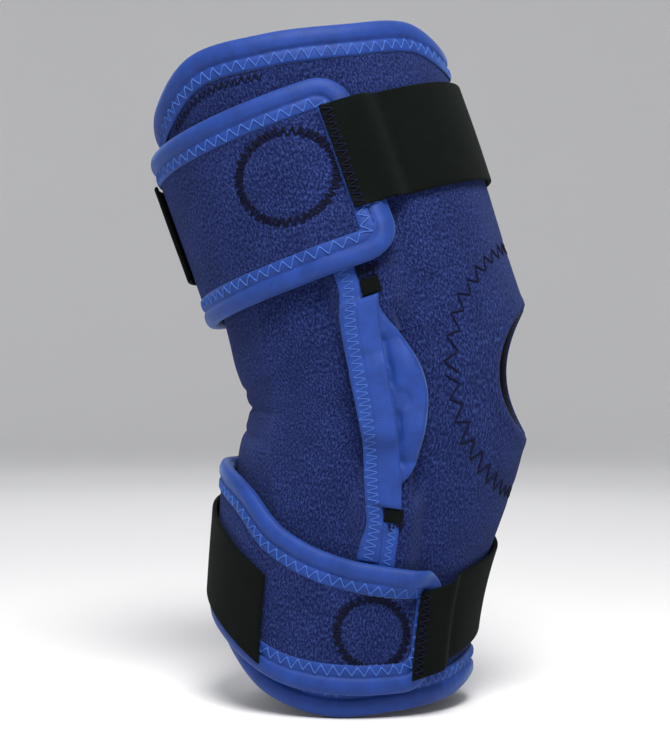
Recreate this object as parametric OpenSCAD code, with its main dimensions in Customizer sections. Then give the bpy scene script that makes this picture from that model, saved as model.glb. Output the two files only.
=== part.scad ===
// Child's hinged knee support: a wrap-around neoprene sleeve with an open patella,
// a hinged stay in a pocket on each side, and two closing wings with strap tails.
// +Z is up the leg, +X is the front of the knee, -Y is the side that faces the viewer.
// The origin lies on the hinge axis, midway between the two hinges.

/* [Leg] */
// Backward lean of the thigh, in degrees
thigh_lean = 18.5; // [12:0.5:22]
// Backward lean of the shin, in degrees
shin_lean = 8; // [4:0.5:10]
// Distance of the knee's centre behind the hinge axis
knee_setback = 7; // [5:0.5:8]
// How far the bend reaches up and down the leg
bend_reach = 32; // [28:1:36]
// How much narrower the knee is at the kneecap than a plain oval
kneecap_taper = 0.18; // [0.1:0.01:0.22]

/* [Fabric] */
// Thickness of the neoprene sleeve
wall = 3.5; // [3:0.1:4]
// Thickness of a closing wing
wing_wall = 3; // [2.5:0.1:3]
// Thickness of the strap tails
strap_t = 1.6; // [1.2:0.1:1.8]
// Thickness of the edge binding
tape_t = 0.7; // [0.5:0.1:0.9]
// Width of the edge binding on a panel's face
tape_w = 9; // [7:0.5:10]
// Height of the kneecap opening
hole_h = 30; // [26:1:36]
// Half of the kneecap opening's spread around the leg, in degrees
hole_spread = 36; // [28:1:38]

/* [Wings] */
// Lower edge of the upper wing, above the knee
upper_wing_low = 46; // [45:1:50]
// Upper edge of the upper wing
upper_wing_high = 112.5; // [108:0.5:114]
// Middle of the upper strap
upper_strap_mid = 83.4; // [82:0.2:85]
// Width of the upper strap
upper_strap_w = 38; // [34:1:38]
// Width of the lower strap
lower_strap_w = 32; // [28:1:32]
// Radius of the upper hook patch
upper_patch_r = 15.7; // [12:0.1:16]
// Radius of the lower hook patch
lower_patch_r = 13; // [10:0.1:14]

/* [Hinge] */
// Radius of the round head of an arm
head_r = 10.5; // [9.5:0.5:10.5]
// Width of an arm
arm_w = 12; // [10:0.5:12]
// Length of an arm from the hinge to its end
arm_len = 62; // [56:1:64]
// Backward lean of the upper arm, in degrees
upper_lean = 15; // [14:0.5:18]
// Backward lean of the lower arm, in degrees
lower_lean = 5; // [4:0.5:8]
// Thickness of an arm
arm_t = 1.2; // [1:0.1:1.2]
// Radius of the rivet's shank
rivet_r = 2; // [1.8:0.1:2.2]
// Radius of the stop pin
stop_r = 1.2; // [1:0.1:1.3]
// Radius at which the stop pin stands
stop_at = 7.2; // [6.8:0.1:7.2]
// Bend of the knee from its shown pose to its limit, in degrees
flex_more = 60; // [40:5:60]
// Straightening of the knee from its shown pose, in degrees
flex_less = 26.5; // [20:0.5:26.5]

/* [Hidden] */

$fn = 48;
// Angle between neighbouring columns of the sleeve
step = 6;
// Arc length of one degree around the leg, at the mean radius
mm_per_deg = 0.9;
// Clearance between neighbouring layers
gap = 0.3;

// Outlines of the sleeve's outer face: [height along the leg, distance from the centre line]
front_line = [[-118, 46], [-68, 43.8], [-20, 52.5], [25, 59.5], [138, 60]];
back_line = [[-118, 47], [-68, 50], [0, 54], [47, 49.5], [138, 52]];
side_line = [[-118, 42.5], [0, 49.3], [138, 52.5]];
// Outlines of the rims and of the lines where the sleeve starts to bend: [degrees, height]
top_rim = [[0, 117], [30, 126], [60, 129], [90, 134], [120, 137], [150, 128.5], [180, 122]];
bottom_rim = [[0, -99], [30, -104.5], [60, -109.5], [90, -114], [120, -111], [150, -100], [180, -93]];
thigh_bend = [[0, 46], [30, 42], [60, 34], [90, 30], [120, 40], [150, 62], [180, 72]];
shin_bend = [[0, -32], [30, -30], [60, -27], [90, -27], [120, -31], [150, -43], [180, -48]];
// Edge tape and lower strap: [height, degrees] and [degrees, height]
tape_line = [[-58, 82], [-35, 82.5], [-16, 89.5], [0, 94], [19, 94.5], [46, 90.5]];
lower_strap_line = [[-90, -56], [-45, -59], [0, -66], [30, -73], [60, -82]];
lower_tail_line = [[118, -84], [150, -71], [180, -63], [225, -58], [270, -56]];
// Edges of the lower wing: [degrees, height]
lower_wing_top = [[46, -57.5], [90, -57], [116, -50.5], [136, -39], [157, -33.5], [190, -31]];
lower_wing_bottom = [[46, -98], [60, -101.5], [90, -105], [115, -103.5], [150, -93], [190, -84]];

// ---- Curves -------------------------------------------------------------

// Slope of a line through points at index i
function slope(line, i) =
    let (a = max(i - 1, 0), b = min(i + 1, len(line) - 1))
    (line[b][1] - line[a][1]) / (line[b][0] - line[a][0]);

// Smooth curve through the points of a line, at x
function curve(line, x) =
    let (
        inside = [for (k = [0 : len(line) - 2]) if (line[k][0] <= x) k],
        i = len(inside) ? inside[len(inside) - 1] : 0,
        h = line[i + 1][0] - line[i][0],
        t = min(max((x - line[i][0]) / h, 0), 1)
    )
    (2 * t * t * t - 3 * t * t + 1) * line[i][1]
    + (t * t * t - 2 * t * t + t) * slope(line, i) * h
    + (3 * t * t - 2 * t * t * t) * line[i + 1][1]
    + (t * t * t - t * t) * slope(line, i + 1) * h;

// 0 below a, 1 above b, smooth between
function ease(a, b, x) =
    let (t = min(max((x - a) / (b - a), 0), 1))
    t * t * (3 - 2 * t);

// Angle around the leg folded onto 0 to 180
function fold(th) =
    let (t = ((th % 360) + 360) % 360)
    t > 180 ? 360 - t : t;

// Height of a line that is the same on both sides of the leg, level at the front and the back
function both(line, th) =
    let (n = len(line))
    curve([[-line[1][0], line[1][1]], each line, [360 - line[n - 2][0], line[n - 2][1]]], fold(th));

// ---- The leg ------------------------------------------------------------

// Point on the leg: height s, angle th around it (0 front, 90 near side), distance off the sleeve's face
function leg(s, th, off) =
    let (
        front = curve(front_line, s),
        back = curve(back_line, s),
        half = curve(side_line, s),
        deep = (front + back) / 2,
        taper = 1 - kneecap_taper * exp(-pow((s - 3) / 34, 2)) * pow(max(cos(th), 0), 2),
        n = [half * cos(th), deep * sin(th)],
        r = (front - back) / 2 + deep * cos(th) + off * n[0] / norm(n),
        y = -(half * taper * sin(th) + off * n[1] / norm(n)),
        w = ease(-bend_reach, bend_reach, s),
        xt = -s * sin(thigh_lean) + r * cos(thigh_lean),
        zt = s * cos(thigh_lean) + r * sin(thigh_lean),
        xs = s * sin(shin_lean) + r * cos(shin_lean),
        zs = s * cos(shin_lean) - r * sin(shin_lean)
    )
    [w * xt + (1 - w) * xs - knee_setback, y, w * zt + (1 - w) * zs];

// Closed skin between two grids of points. Rows run along the leg; closed joins last column to first.
module skin(inner, outer, closed = false) {
    n = len(inner);
    m = len(inner[0]);
    last = closed ? n - 1 : n - 2;
    points = [for (c = inner) each c, for (c = outer) each c];
    function at(i, j, out) = (i % n) * m + j + (out ? n * m : 0);
    function quad(a, b, c, d) = [[a, c, b], [a, d, c]];
    faces = [
        for (i = [0 : last], j = [0 : m - 2])
            each quad(at(i, j, true), at(i, j + 1, true), at(i + 1, j + 1, true), at(i + 1, j, true)),
        for (i = [0 : last], j = [0 : m - 2])
            each quad(at(i + 1, j, false), at(i + 1, j + 1, false), at(i, j + 1, false), at(i, j, false)),
        for (i = [0 : last])
            each quad(at(i, 0, false), at(i, 0, true), at(i + 1, 0, true), at(i + 1, 0, false)),
        for (i = [0 : last])
            each quad(at(i + 1, m - 1, false), at(i + 1, m - 1, true), at(i, m - 1, true), at(i, m - 1, false)),
        if (!closed) for (j = [0 : m - 2])
            each quad(at(0, j, false), at(0, j + 1, false), at(0, j + 1, true), at(0, j, true)),
        if (!closed) for (j = [0 : m - 2])
            each quad(at(n - 1, j, true), at(n - 1, j + 1, true), at(n - 1, j + 1, false), at(n - 1, j, false))
    ];
    polyhedron(points, faces);
}

// Columns of points between two heights, at one distance off the sleeve
function columns(angles, low, high, rows, off) = [
    for (th = angles)
        [for (j = [0 : rows]) leg(low(th) + (high(th) - low(th)) * j / rows, th, off)]
];

round_angles = [for (th = [0 : step : 359]) th];

// Ring of sleeve all round the leg, between two heights
module sleeve(low, high, rows) {
    skin(columns(round_angles, low, high, rows, -wall), columns(round_angles, low, high, rows, 0), true);
}

// Left-hand normal at index i of a flat path, which lists [arc length, height]
function side_of(path, i) =
    let (d = path[min(i + 1, len(path) - 1)] - path[max(i - 1, 0)])
    [-d[1], d[0]] / norm(d);

// Tape swept along a wing's edge, a flat path; section lists [inset, lowest, highest]
module swept(path, section) {
    function p(i, k, h) =
        let (q = path[i] + side_of(path, i) * section[k][0], th = q[0] / mm_per_deg)
        leg(q[1], th, section[k][h] + bridge(q[1], th));
    skin(
        [for (i = [0 : len(path) - 1]) [for (k = [0 : len(section) - 1]) p(i, k, 1)]],
        [for (i = [0 : len(path) - 1]) [for (k = [0 : len(section) - 1]) p(i, k, 2)]]
    );
}

// Height of a rim's rolled edge beyond the sleeve
rim_edge = 3;

// Binding round a rim: folded over the edge, flat on the outer face. up is 1 at the top rim, -1 at the bottom.
module rim_binding(rim, up) {
    under = 0.15;
    section = [
        [-tape_w, under, tape_t], [-rim_edge, under, tape_t + 0.2],
        [-rim_edge + 0.4, -wall, tape_t + 0.4], [0, -wall + 0.6, 0.2]
    ];
    ordered = up > 0 ? section : [for (k = [3 : -1 : 0]) section[k]];
    skin(
        [for (th = round_angles) [for (q = ordered) leg(both(rim, th) + up * q[0], th, q[1])]],
        [for (th = round_angles) [for (q = ordered) leg(both(rim, th) + up * q[0], th, q[2])]],
        true
    );
}

// ---- Hinge pocket -------------------------------------------------------

// Distances of the hinge's layers from the leg's middle plane
base_y = 49.8;
base_t = 0.8;
lower_y = base_y + base_t + 0.1;
washer_y = lower_y + arm_t + 0.05;
washer_t = 0.3;
upper_y = washer_y + washer_t + 0.05;
cap_y = upper_y + arm_t + 0.1;
cap_t = 0.9;
rivet_head_t = 0.6;
rivet_play = 0.06;
slot_play = 0.2;
// Inward lean of each arm's far end, in degrees, and where it begins
upper_tuck = 1;
lower_tuck = 4.5;
bar_start = head_r + 0.5;

// Distance in the side view from a point to an arm that leans back by lean
function from_arm(p, lean, up) =
    let (u = up * p[2] * cos(lean) - p[0] * sin(lean), v = p[0] * cos(lean) + up * p[2] * sin(lean))
    u < 0 ? norm([p[0], p[2]]) : u > arm_len - arm_w / 2 ? norm([u - arm_len + arm_w / 2, v]) : abs(v);

// Angle round the leg of the arms' middle line at height s
function arm_mid(s) =
    let (
        front = curve(front_line, s),
        back = curve(back_line, s),
        lean = s > 0 ? thigh_lean - upper_lean : shin_lean - lower_lean,
        r = knee_setback + abs(s) * tan(lean)
    )
    acos((r - (front - back) / 2) / ((front + back) / 2));

// Height of the pocket's inner face over the sleeve, where an arm or the hinge lies below.
// It falls off between level and foot, both measured outwards from the arm's edge.
function pocket(s, th, level = 1, foot = 4.5) =
    let (
        p = leg(s, fold(th), 0),
        reach = max(norm([p[0], p[2]]) - bar_start, 0),
        upper = upper_y + arm_t + gap - reach * sin(upper_tuck),
        lower = lower_y + arm_t + gap - reach * sin(lower_tuck),
        head = cap_y + cap_t + rivet_head_t + gap,
        half = arm_w / 2
    )
    max(
        (upper + p[1]) * (1 - ease(half + level, half + foot, from_arm(p, upper_lean, 1))),
        (lower + p[1]) * (1 - ease(half + level, half + foot, from_arm(p, lower_lean, -1))),
        (head + p[1]) * (1 - ease(head_r + level, head_r + foot + 1.5, norm([p[0], p[2]]))),
        0
    );

// Cover over a stretch of the pocket, between two heights and as wide as the given angles either side
module pocket_cover(low, high, rear, front, rows, cover_t) {
    cols = 12;
    function spot(i, j, off) =
        let (
            s = low + (high - low) * j / rows,
            th = arm_mid(s) - front + (rear + front) * i / cols
        )
        leg(s, th, gap + pocket(s, th) + off);
    skin(
        [for (i = [0 : cols]) [for (j = [0 : rows]) spot(i, j, 0)]],
        [for (i = [0 : cols]) [for (j = [0 : rows]) spot(i, j, cover_t)]]
    );
}

// Puts a hinge's pieces on the near or the far side
module on_side(far) {
    mirror([0, far ? 1 : 0, 0]) children();
}

// Disc that faces the side of the leg, from y to y + t away from the middle plane
module disc(r, y, t) {
    translate([0, -y, 0]) rotate([90, 0, 0]) cylinder(r = r, h = t);
}

// Flat bar from the hinge along the leg, with a round end. Past the head it is a step thinner and
// narrower, and leans inwards by tuck.
module bar(lean, up, y, tuck) {
    step_in = 0.15;
    overlap = 3;
    width = arm_w - 2 * step_in;
    reach = arm_len - arm_w / 2 - bar_start + overlap;
    rotate([0, up > 0 ? -lean : lean + 180, 0])
        translate([0, -y, 0])
            rotate([90, 0, 0]) {
                cylinder(r = head_r, h = arm_t);
                translate([-arm_w / 2, 0, 0]) cube([arm_w, bar_start, arm_t]);
                translate([0, bar_start - overlap, step_in]) rotate([-tuck, 0, 0])
                    linear_extrude(arm_t - 2 * step_in) {
                        translate([-width / 2, 0]) square([width, reach]);
                        translate([0, reach]) circle(r = width / 2);
                    }
            }
}

// Slot in the lower arm's head in which the stop pin travels: an arc with round ends
module stop_slot() {
    w = stop_r + slot_play;
    first = 90 + upper_lean - flex_less;
    last = 90 + upper_lean + flex_more;
    function dir(a) = [cos(a), sin(a)];
    function arc(r, t) = r * dir(first + (last - first) * t);
    outline = [
        for (t = [0 : 12]) arc(stop_at + w, t / 12),
        for (b = [30 : 30 : 150]) stop_at * dir(last) + w * dir(last + b),
        for (t = [12 : -1 : 0]) arc(stop_at - w, t / 12),
        for (b = [30 : 30 : 150]) stop_at * dir(first) + w * dir(first + 180 + b)
    ];
    translate([0, -lower_y + 1, 0]) rotate([90, 0, 0]) linear_extrude(arm_t + 2) polygon(outline);
}

// Where the stop pin stands, on the thigh's side
module at_stop() {
    rotate([0, -upper_lean, 0]) translate([0, 0, stop_at]) children();
}

module upper_arm() {
    color("silver") difference() {
        bar(upper_lean, 1, upper_y, upper_tuck);
        disc(rivet_r + rivet_play, upper_y - 1, arm_t + 2);
        at_stop() disc(stop_r + rivet_play, upper_y - 1, arm_t + 2);
    }
}

module lower_arm() {
    color("silver") difference() {
        bar(lower_lean, -1, lower_y, lower_tuck);
        disc(rivet_r + rivet_play, lower_y - 1, arm_t + 2);
        stop_slot();
    }
}

module hinge_cap() {
    color("black") difference() {
        disc(head_r, cap_y, cap_t);
        disc(rivet_r + rivet_play, cap_y - 1, cap_t + 2);
        at_stop() disc(stop_r + rivet_play, cap_y - 1, cap_t + 2);
    }
}

module hinge_base() {
    color("black") difference() {
        disc(head_r, base_y, base_t);
        disc(rivet_r + rivet_play, base_y - 1, base_t + 2);
        at_stop() disc(stop_r + rivet_play, base_y - 1, base_t + 2);
    }
}

module rivet() {
    color("gray") {
        disc(rivet_r, base_y, cap_y + cap_t + rivet_head_t / 2 - base_y);
        disc(rivet_r + 1.6, cap_y + cap_t + 0.02, rivet_head_t - 0.05);
    }
}

module washer() {
    color("white") difference() {
        disc(rivet_r + 2.4, washer_y, washer_t);
        disc(rivet_r + rivet_play, washer_y - 1, washer_t + 2);
    }
}

module stop_pin() {
    color("gray") at_stop() disc(stop_r, base_y, cap_y + cap_t - base_y);
}

module hinge_cover() {
    color("royalblue") pocket_cover(-31, 34, 15, 16, 16, 1);
}

module upper_channel() {
    color("midnightblue") pocket_cover(35, 66, 13, 13, 10, 0.9);
}

module lower_channel() {
    color("midnightblue") pocket_cover(-68, -32, 14, 14, 10, 0.9);
}

// ---- Sleeve -------------------------------------------------------------

module thigh_sleeve() {
    color("midnightblue")
        sleeve(function(th) both(thigh_bend, th), function(th) both(top_rim, th) - rim_edge - 0.2, 6);
}

module shin_sleeve() {
    color("midnightblue")
        sleeve(function(th) both(bottom_rim, th) + rim_edge + 0.2, function(th) both(shin_bend, th), 5);
}

// Middle of the sleeve, with the kneecap opening. Columns start at the opening's edge and
// meet on the front line above and below it.
module knee_sleeve() {
    cols = 48;
    hole_rows = 8;
    mid = 3;
    low = [for (k = [0 : 2]) k / 3];
    // Rows as [share of the way below, inside or above the opening]
    rows = [for (k = low) [0, k], for (k = [0 : hole_rows]) [1, k / hole_rows], for (k = low) [2, k + 1 / 3]];
    function height(q, th) =
        let (
            top = both(thigh_bend, th) - gap,
            bottom = both(shin_bend, th) + gap,
            high = mid + hole_h / 2 + ease(60, 160, fold(th)) * 8,
            deep = mid - hole_h / 2 - ease(60, 160, fold(th)) * 2
        )
        q[0] == 0 ? bottom + (deep - bottom) * q[1]
        : q[0] == 1 ? deep + (high - deep) * (1 - cos(180 * q[1])) / 2
        : high + (top - high) * q[1];
    function spot(q, i, off) =
        let (
            half = q[0] == 1 ? hole_spread * sin(180 * q[1]) : 0,
            turn = 360 * i / cols,
            spread = half * max(1 - min(turn, 360 - turn) / 90, 0),
            th = turn <= 180 ? turn + spread : turn - spread
        )
        leg(height(q, th), th, off);
    m = len(rows);
    points = [
        for (off = [-wall, 0], i = [0 : cols], q = rows) spot(q, i, off)
    ];
    // The last column is the first one again, except along the opening
    function open(j) = rows[j][0] == 1 && rows[j][1] > 0 && rows[j][1] < 1;
    function at(i, j, out) = (i == cols && !open(j) ? 0 : i) * m + j + (out ? (cols + 1) * m : 0);
    function quad(a, b, c, d) = [[a, c, b], [a, d, c]];
    first_open = 3;
    last_open = 3 + hole_rows - 1;
    color("midnightblue") polyhedron(points, [
        for (i = [0 : cols - 1], j = [0 : m - 2])
            each quad(at(i, j, true), at(i, j + 1, true), at(i + 1, j + 1, true), at(i + 1, j, true)),
        for (i = [0 : cols - 1], j = [0 : m - 2])
            each quad(at(i + 1, j, false), at(i + 1, j + 1, false), at(i, j + 1, false), at(i, j, false)),
        for (i = [0 : cols - 1])
            each quad(at(i, 0, false), at(i, 0, true), at(i + 1, 0, true), at(i + 1, 0, false)),
        for (i = [0 : cols - 1])
            each quad(at(i + 1, m - 1, false), at(i + 1, m - 1, true), at(i, m - 1, true), at(i, m - 1, false)),
        for (j = [first_open : last_open])
            each quad(at(0, j, false), at(0, j + 1, false), at(0, j + 1, true), at(0, j, true)),
        for (j = [first_open : last_open])
            each quad(at(cols, j, true), at(cols, j + 1, true), at(cols, j + 1, false), at(cols, j, false))
    ]);
}

// Ring of piping sewn round the kneecap opening
module patella_ring() {
    turns = 48;
    mid = 5;
    function ring(a, grow) = [mid + (34 + grow) * sin(a), (60 + grow) * cos(a)];
    color("black") skin(
        [for (i = [0 : turns - 1]) [for (g = [3, -3])
            let (q = ring(360 * i / turns, g)) leg(q[0], q[1], 0.15)]],
        [for (i = [0 : turns - 1]) [for (g = [3, -3])
            let (q = ring(360 * i / turns, g)) leg(q[0], q[1], 0.6)]],
        true
    );
}

module top_binding() {
    color("royalblue") rim_binding(top_rim, 1);
}

module bottom_binding() {
    color("royalblue") rim_binding(bottom_rim, -1);
}

// Bound edge of the wrap, down the near side behind the hinge
module edge_tape() {
    half = tape_w / 2 / mm_per_deg;
    across = 6;
    function spot(s, k, off) =
        let (th = curve(tape_line, s) - half + 2 * half * k / across)
        leg(s, th, gap + pocket(s, th) + 1.8 + off);
    color("royalblue") skin(
        [for (s = [45 : -3.5 : -55]) [for (k = [0 : across]) spot(s, k, 0)]],
        [for (s = [45 : -3.5 : -55]) [for (k = [0 : across]) spot(s, k, tape_t)]]
    );
}

// ---- Wings and straps ---------------------------------------------------

// Distance of a wing's inner face off the sleeve
wing_base = 2.6;

// How far a wing or a strap is raised where it bridges the pocket
function bridge(s, th) = pocket(s, th, 2.5, 12);

// Radius of the round corners of a wing's free end
corner_r = 11;
upper_front_edge = 69;
lower_front_edge = 46;

// Angle at which a wing's free end begins, off from its middle by d of its half width
function wing_front(edge, d, half) =
    edge + corner_r / mm_per_deg * (1 - sqrt(max(1 - pow(max(abs(d) - half + corner_r, 0) / corner_r, 2), 0)));

// Heights down a wing's free end as shares of its width from 0 to 1, close together at the corners
function end_shares(width) = [
    for (a = [0 : 15 : 75]) corner_r / width * (1 - cos(a)),
    for (k = [1 : 9]) corner_r / width + (1 - 2 * corner_r / width) * k / 10,
    for (a = [75 : -15 : 0]) 1 - corner_r / width * (1 - cos(a))
];

// Rear angle where each wing is sewn down on the sleeve
upper_root = 214;
lower_root = 190;

module upper_wing() {
    cols = 40;
    rows = 10;
    inset = 3;
    low = upper_wing_low + inset;
    high = upper_wing_high - inset;
    function spot(i, j, off) =
        let (
            s = low + (high - low) * j / rows,
            start = wing_front(upper_front_edge + inset / mm_per_deg, s - (low + high) / 2, (high - low) / 2),
            th = start + (upper_root - start) * i / cols
        )
        leg(s, th, wing_base + bridge(s, th) + off);
    color("midnightblue") skin(
        [for (i = [0 : cols]) [for (j = [0 : rows]) spot(i, j, 0)]],
        [for (i = [0 : cols]) [for (j = [0 : rows]) spot(i, j, wing_wall)]]
    );
}

// Width of the lower wing at its free end
lower_end_w = curve(lower_wing_top, lower_front_edge) - curve(lower_wing_bottom, lower_front_edge);

module lower_wing() {
    cols = 38;
    rows = 10;
    inset = 3.7;
    function spot(i, j, off) =
        let (
            t = j / rows,
            start = wing_front(lower_front_edge + inset / mm_per_deg, (t - 0.5) * lower_end_w, lower_end_w / 2),
            th = start + (lower_root - start) * i / cols,
            low = curve(lower_wing_bottom, th) + inset,
            high = curve(lower_wing_top, th) - inset,
            s = low + (high - low) * t
        )
        leg(s, th, wing_base + bridge(s, th) + off);
    color("midnightblue") skin(
        [for (i = [0 : cols]) [for (j = [0 : rows]) spot(i, j, 0)]],
        [for (i = [0 : cols]) [for (j = [0 : rows]) spot(i, j, wing_wall)]]
    );
}

wing_face = wing_base + wing_wall;
// Section of a wing's binding, folded over the edge and flat on the outer face
wing_section = [
    [0, wing_base + 0.4, wing_face],
    [2.1, wing_base - 0.2, wing_face + tape_t + 0.3],
    [2.5, wing_face + gap, wing_face + tape_t + 0.3],
    [5.8, wing_face + gap, wing_face + tape_t + 0.1],
    [tape_w, wing_face + gap, wing_face + tape_t + 0.1]
];

module upper_wing_binding() {
    low = upper_wing_low;
    high = upper_wing_high;
    path = [
        for (th = [upper_root : -4.5 : 84]) [th * mm_per_deg, high],
        for (t = end_shares(high - low))
            let (d = (high - low) * (0.5 - t))
            [wing_front(upper_front_edge, d, (high - low) / 2) * mm_per_deg, (low + high) / 2 + d],
        for (th = [84 : 4.5 : upper_root]) [th * mm_per_deg, low]
    ];
    color("royalblue") swept(path, wing_section);
}

module lower_wing_binding() {
    path = [
        for (th = [lower_root : -4.5 : 61]) [th * mm_per_deg, curve(lower_wing_top, th)],
        for (t = end_shares(lower_end_w))
            let (
                th = wing_front(lower_front_edge, (0.5 - t) * lower_end_w, lower_end_w / 2),
                low = curve(lower_wing_bottom, th),
                high = curve(lower_wing_top, th)
            )
            [th * mm_per_deg, high - (high - low) * t],
        for (th = [61 : 4.5 : lower_root]) [th * mm_per_deg, curve(lower_wing_bottom, th)]
    ];
    color("royalblue") swept(path, wing_section);
}

// Round hook patch between a wing and the sleeve
module hook_patch(s, th, r) {
    turns = 24;
    function spot(a, d, off) = leg(s + d * sin(a), th + d * cos(a) / mm_per_deg, off);
    skin(
        [for (i = [0 : turns - 1]) [for (g = [1, 0.67, 0.34, 0.02]) spot(360 * i / turns, r * g, 0.5)]],
        [for (i = [0 : turns - 1]) [for (g = [1, 0.67, 0.34, 0.02]) spot(360 * i / turns, r * g, 2)]],
        true
    );
}

module upper_hook_patch() {
    color("black") hook_patch(83, 98, upper_patch_r);
}

module lower_hook_patch() {
    color("black") hook_patch(-84, 104, lower_patch_r);
}

// Strap along a centre line between two angles, lying on the wing where on_wing is 1
module strap(from, to, mid, width, on_wing) {
    wing_top = wing_face + tape_t + 2 * gap;
    count = ceil(abs(to - from) / 5);
    angles = [for (i = [0 : count]) from + (to - from) * i / count];
    rows = 6;
    function spot(th, j, off) =
        let (s = mid(th) + width * (j / rows - 0.5), w = on_wing(th))
        leg(s, th, bridge(s, th) + min(0.9 + bridge(s, th), 1.8) * (1 - w) + wing_top * w + off);
    skin(
        [for (th = angles) [for (j = [0 : rows]) spot(th, j, 0)]],
        [for (th = angles) [for (j = [0 : rows]) spot(th, j, strap_t)]]
    );
}

upper_tab_line = 202;
lower_tab_line = 148;

module upper_strap() {
    color("black") strap(
        upper_tab_line - 360 + 0.4, 80, function(th) upper_strap_mid, upper_strap_w,
        function(th) ease(57, 67, th) + ease(134, 144, -th)
    );
}

module upper_tab() {
    color("black") strap(
        166, upper_tab_line, function(th) upper_strap_mid, upper_strap_w, function(th) 1
    );
}

module lower_strap() {
    function mid(th) = th > -90 ? curve(lower_strap_line, th) : curve(lower_tail_line, th + 360);
    color("black") strap(
        lower_tab_line - 360 + 0.4, 57, function(th) mid(th), lower_strap_w,
        function(th) ease(34, 44, th) + ease(158, 168, -th)
    );
}

module lower_tab() {
    color("black") strap(
        119, lower_tab_line, function(th) curve(lower_tail_line, th), lower_strap_w, function(th) 1
    );
}

// Square black reinforcements at the ends of both hinge covers
module pocket_tabs(s, th) {
    color("black") for (far = [false, true]) on_side(far)
        skin(
            [for (e = [-2.6, 2.6]) [for (d = [-2.2, 2.2])
                leg(s + d, th + e, gap + pocket(s + d, th + e) + 1.05)]],
            [for (e = [-2.6, 2.6]) [for (d = [-2.2, 2.2])
                leg(s + d, th + e, gap + pocket(s + d, th + e) + 1.6)]]
        );
}

module upper_pocket_tabs() {
    pocket_tabs(38.8, 81.5);
}

module lower_pocket_tabs() {
    pocket_tabs(-37, 73.5);
}

thigh_sleeve();
knee_sleeve();
shin_sleeve();
patella_ring();
top_binding();
bottom_binding();
edge_tape();
upper_wing();
upper_wing_binding();
upper_hook_patch();
upper_strap();
upper_tab();
lower_wing();
lower_wing_binding();
lower_hook_patch();
lower_strap();
lower_tab();
on_side(false) hinge_cover();  // near_hinge_cover
on_side(false) upper_channel();  // near_upper_channel
on_side(false) lower_channel();  // near_lower_channel
on_side(false) upper_arm();  // near_upper_arm
on_side(false) lower_arm();  // near_lower_arm
on_side(false) hinge_cap();  // near_hinge_cap
on_side(false) hinge_base();  // near_hinge_base
on_side(false) rivet();  // near_rivet
on_side(false) washer();  // near_washer
on_side(false) stop_pin();  // near_stop_pin
on_side(true) hinge_cover();  // far_hinge_cover
on_side(true) upper_channel();  // far_upper_channel
on_side(true) lower_channel();  // far_lower_channel
on_side(true) upper_arm();  // far_upper_arm
on_side(true) lower_arm();  // far_lower_arm
on_side(true) hinge_cap();  // far_hinge_cap
on_side(true) hinge_base();  // far_hinge_base
on_side(true) rivet();  // far_rivet
on_side(true) washer();  // far_washer
on_side(true) stop_pin();  // far_stop_pin
upper_pocket_tabs();
lower_pocket_tabs();
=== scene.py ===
import math

import bpy
import numpy as np
from bpy.props import FloatProperty, FloatVectorProperty, PointerProperty
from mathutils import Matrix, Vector


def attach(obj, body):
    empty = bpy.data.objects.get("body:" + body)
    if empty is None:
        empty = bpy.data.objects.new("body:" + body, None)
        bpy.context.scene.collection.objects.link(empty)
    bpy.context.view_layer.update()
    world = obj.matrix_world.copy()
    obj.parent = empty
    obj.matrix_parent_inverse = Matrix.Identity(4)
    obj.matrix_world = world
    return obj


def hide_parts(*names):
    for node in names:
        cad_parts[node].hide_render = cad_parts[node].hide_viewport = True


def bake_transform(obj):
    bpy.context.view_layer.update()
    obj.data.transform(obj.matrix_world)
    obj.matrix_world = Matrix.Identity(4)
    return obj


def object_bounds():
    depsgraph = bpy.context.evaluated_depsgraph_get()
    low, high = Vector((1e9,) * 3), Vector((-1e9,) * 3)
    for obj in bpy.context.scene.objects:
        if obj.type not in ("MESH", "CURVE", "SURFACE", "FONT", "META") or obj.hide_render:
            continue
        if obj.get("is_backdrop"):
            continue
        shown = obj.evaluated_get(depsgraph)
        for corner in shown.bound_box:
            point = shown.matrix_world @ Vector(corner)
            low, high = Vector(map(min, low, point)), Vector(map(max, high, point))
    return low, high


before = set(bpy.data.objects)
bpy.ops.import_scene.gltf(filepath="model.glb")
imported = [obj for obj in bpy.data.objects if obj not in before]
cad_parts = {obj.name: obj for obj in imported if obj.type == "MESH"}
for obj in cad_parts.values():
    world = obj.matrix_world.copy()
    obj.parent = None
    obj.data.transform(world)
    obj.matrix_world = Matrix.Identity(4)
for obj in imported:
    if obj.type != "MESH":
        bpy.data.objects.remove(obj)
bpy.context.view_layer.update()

bl_info = {
    "name": "Hinged Knee Support",
    "version": (1, 0, 0),
    "blender": (4, 5, 0),
    "location": "View3D > Sidebar > Knee Support",
    "description": "Fabric, bindings, stitches, straps and finishes for a child's hinged knee support",
    "category": "Object",
}

MM = 0.001

# ---- The leg's shape, as the frame has it: millimetres, and degrees round the leg -----------------
# A place on the sleeve is (s, th, off): height along the leg, angle round it from the front towards
# the near side, and distance outwards from the sleeve's face.

THIGH_LEAN = 18.5
SHIN_LEAN = 8
KNEE_SETBACK = 7
BEND_REACH = 32
KNEECAP_TAPER = 0.18
MM_PER_DEG = 0.9

FRONT_LINE = [(-118, 46), (-68, 43.8), (-20, 52.5), (25, 59.5), (138, 60)]
BACK_LINE = [(-118, 47), (-68, 50), (0, 54), (47, 49.5), (138, 52)]
SIDE_LINE = [(-118, 42.5), (0, 49.3), (138, 52.5)]
TOP_RIM = [(0, 117), (30, 126), (60, 129), (90, 134), (120, 137), (150, 128.5), (180, 122)]
BOTTOM_RIM = [(0, -99), (30, -104.5), (60, -109.5), (90, -114), (120, -111), (150, -100), (180, -93)]

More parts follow.
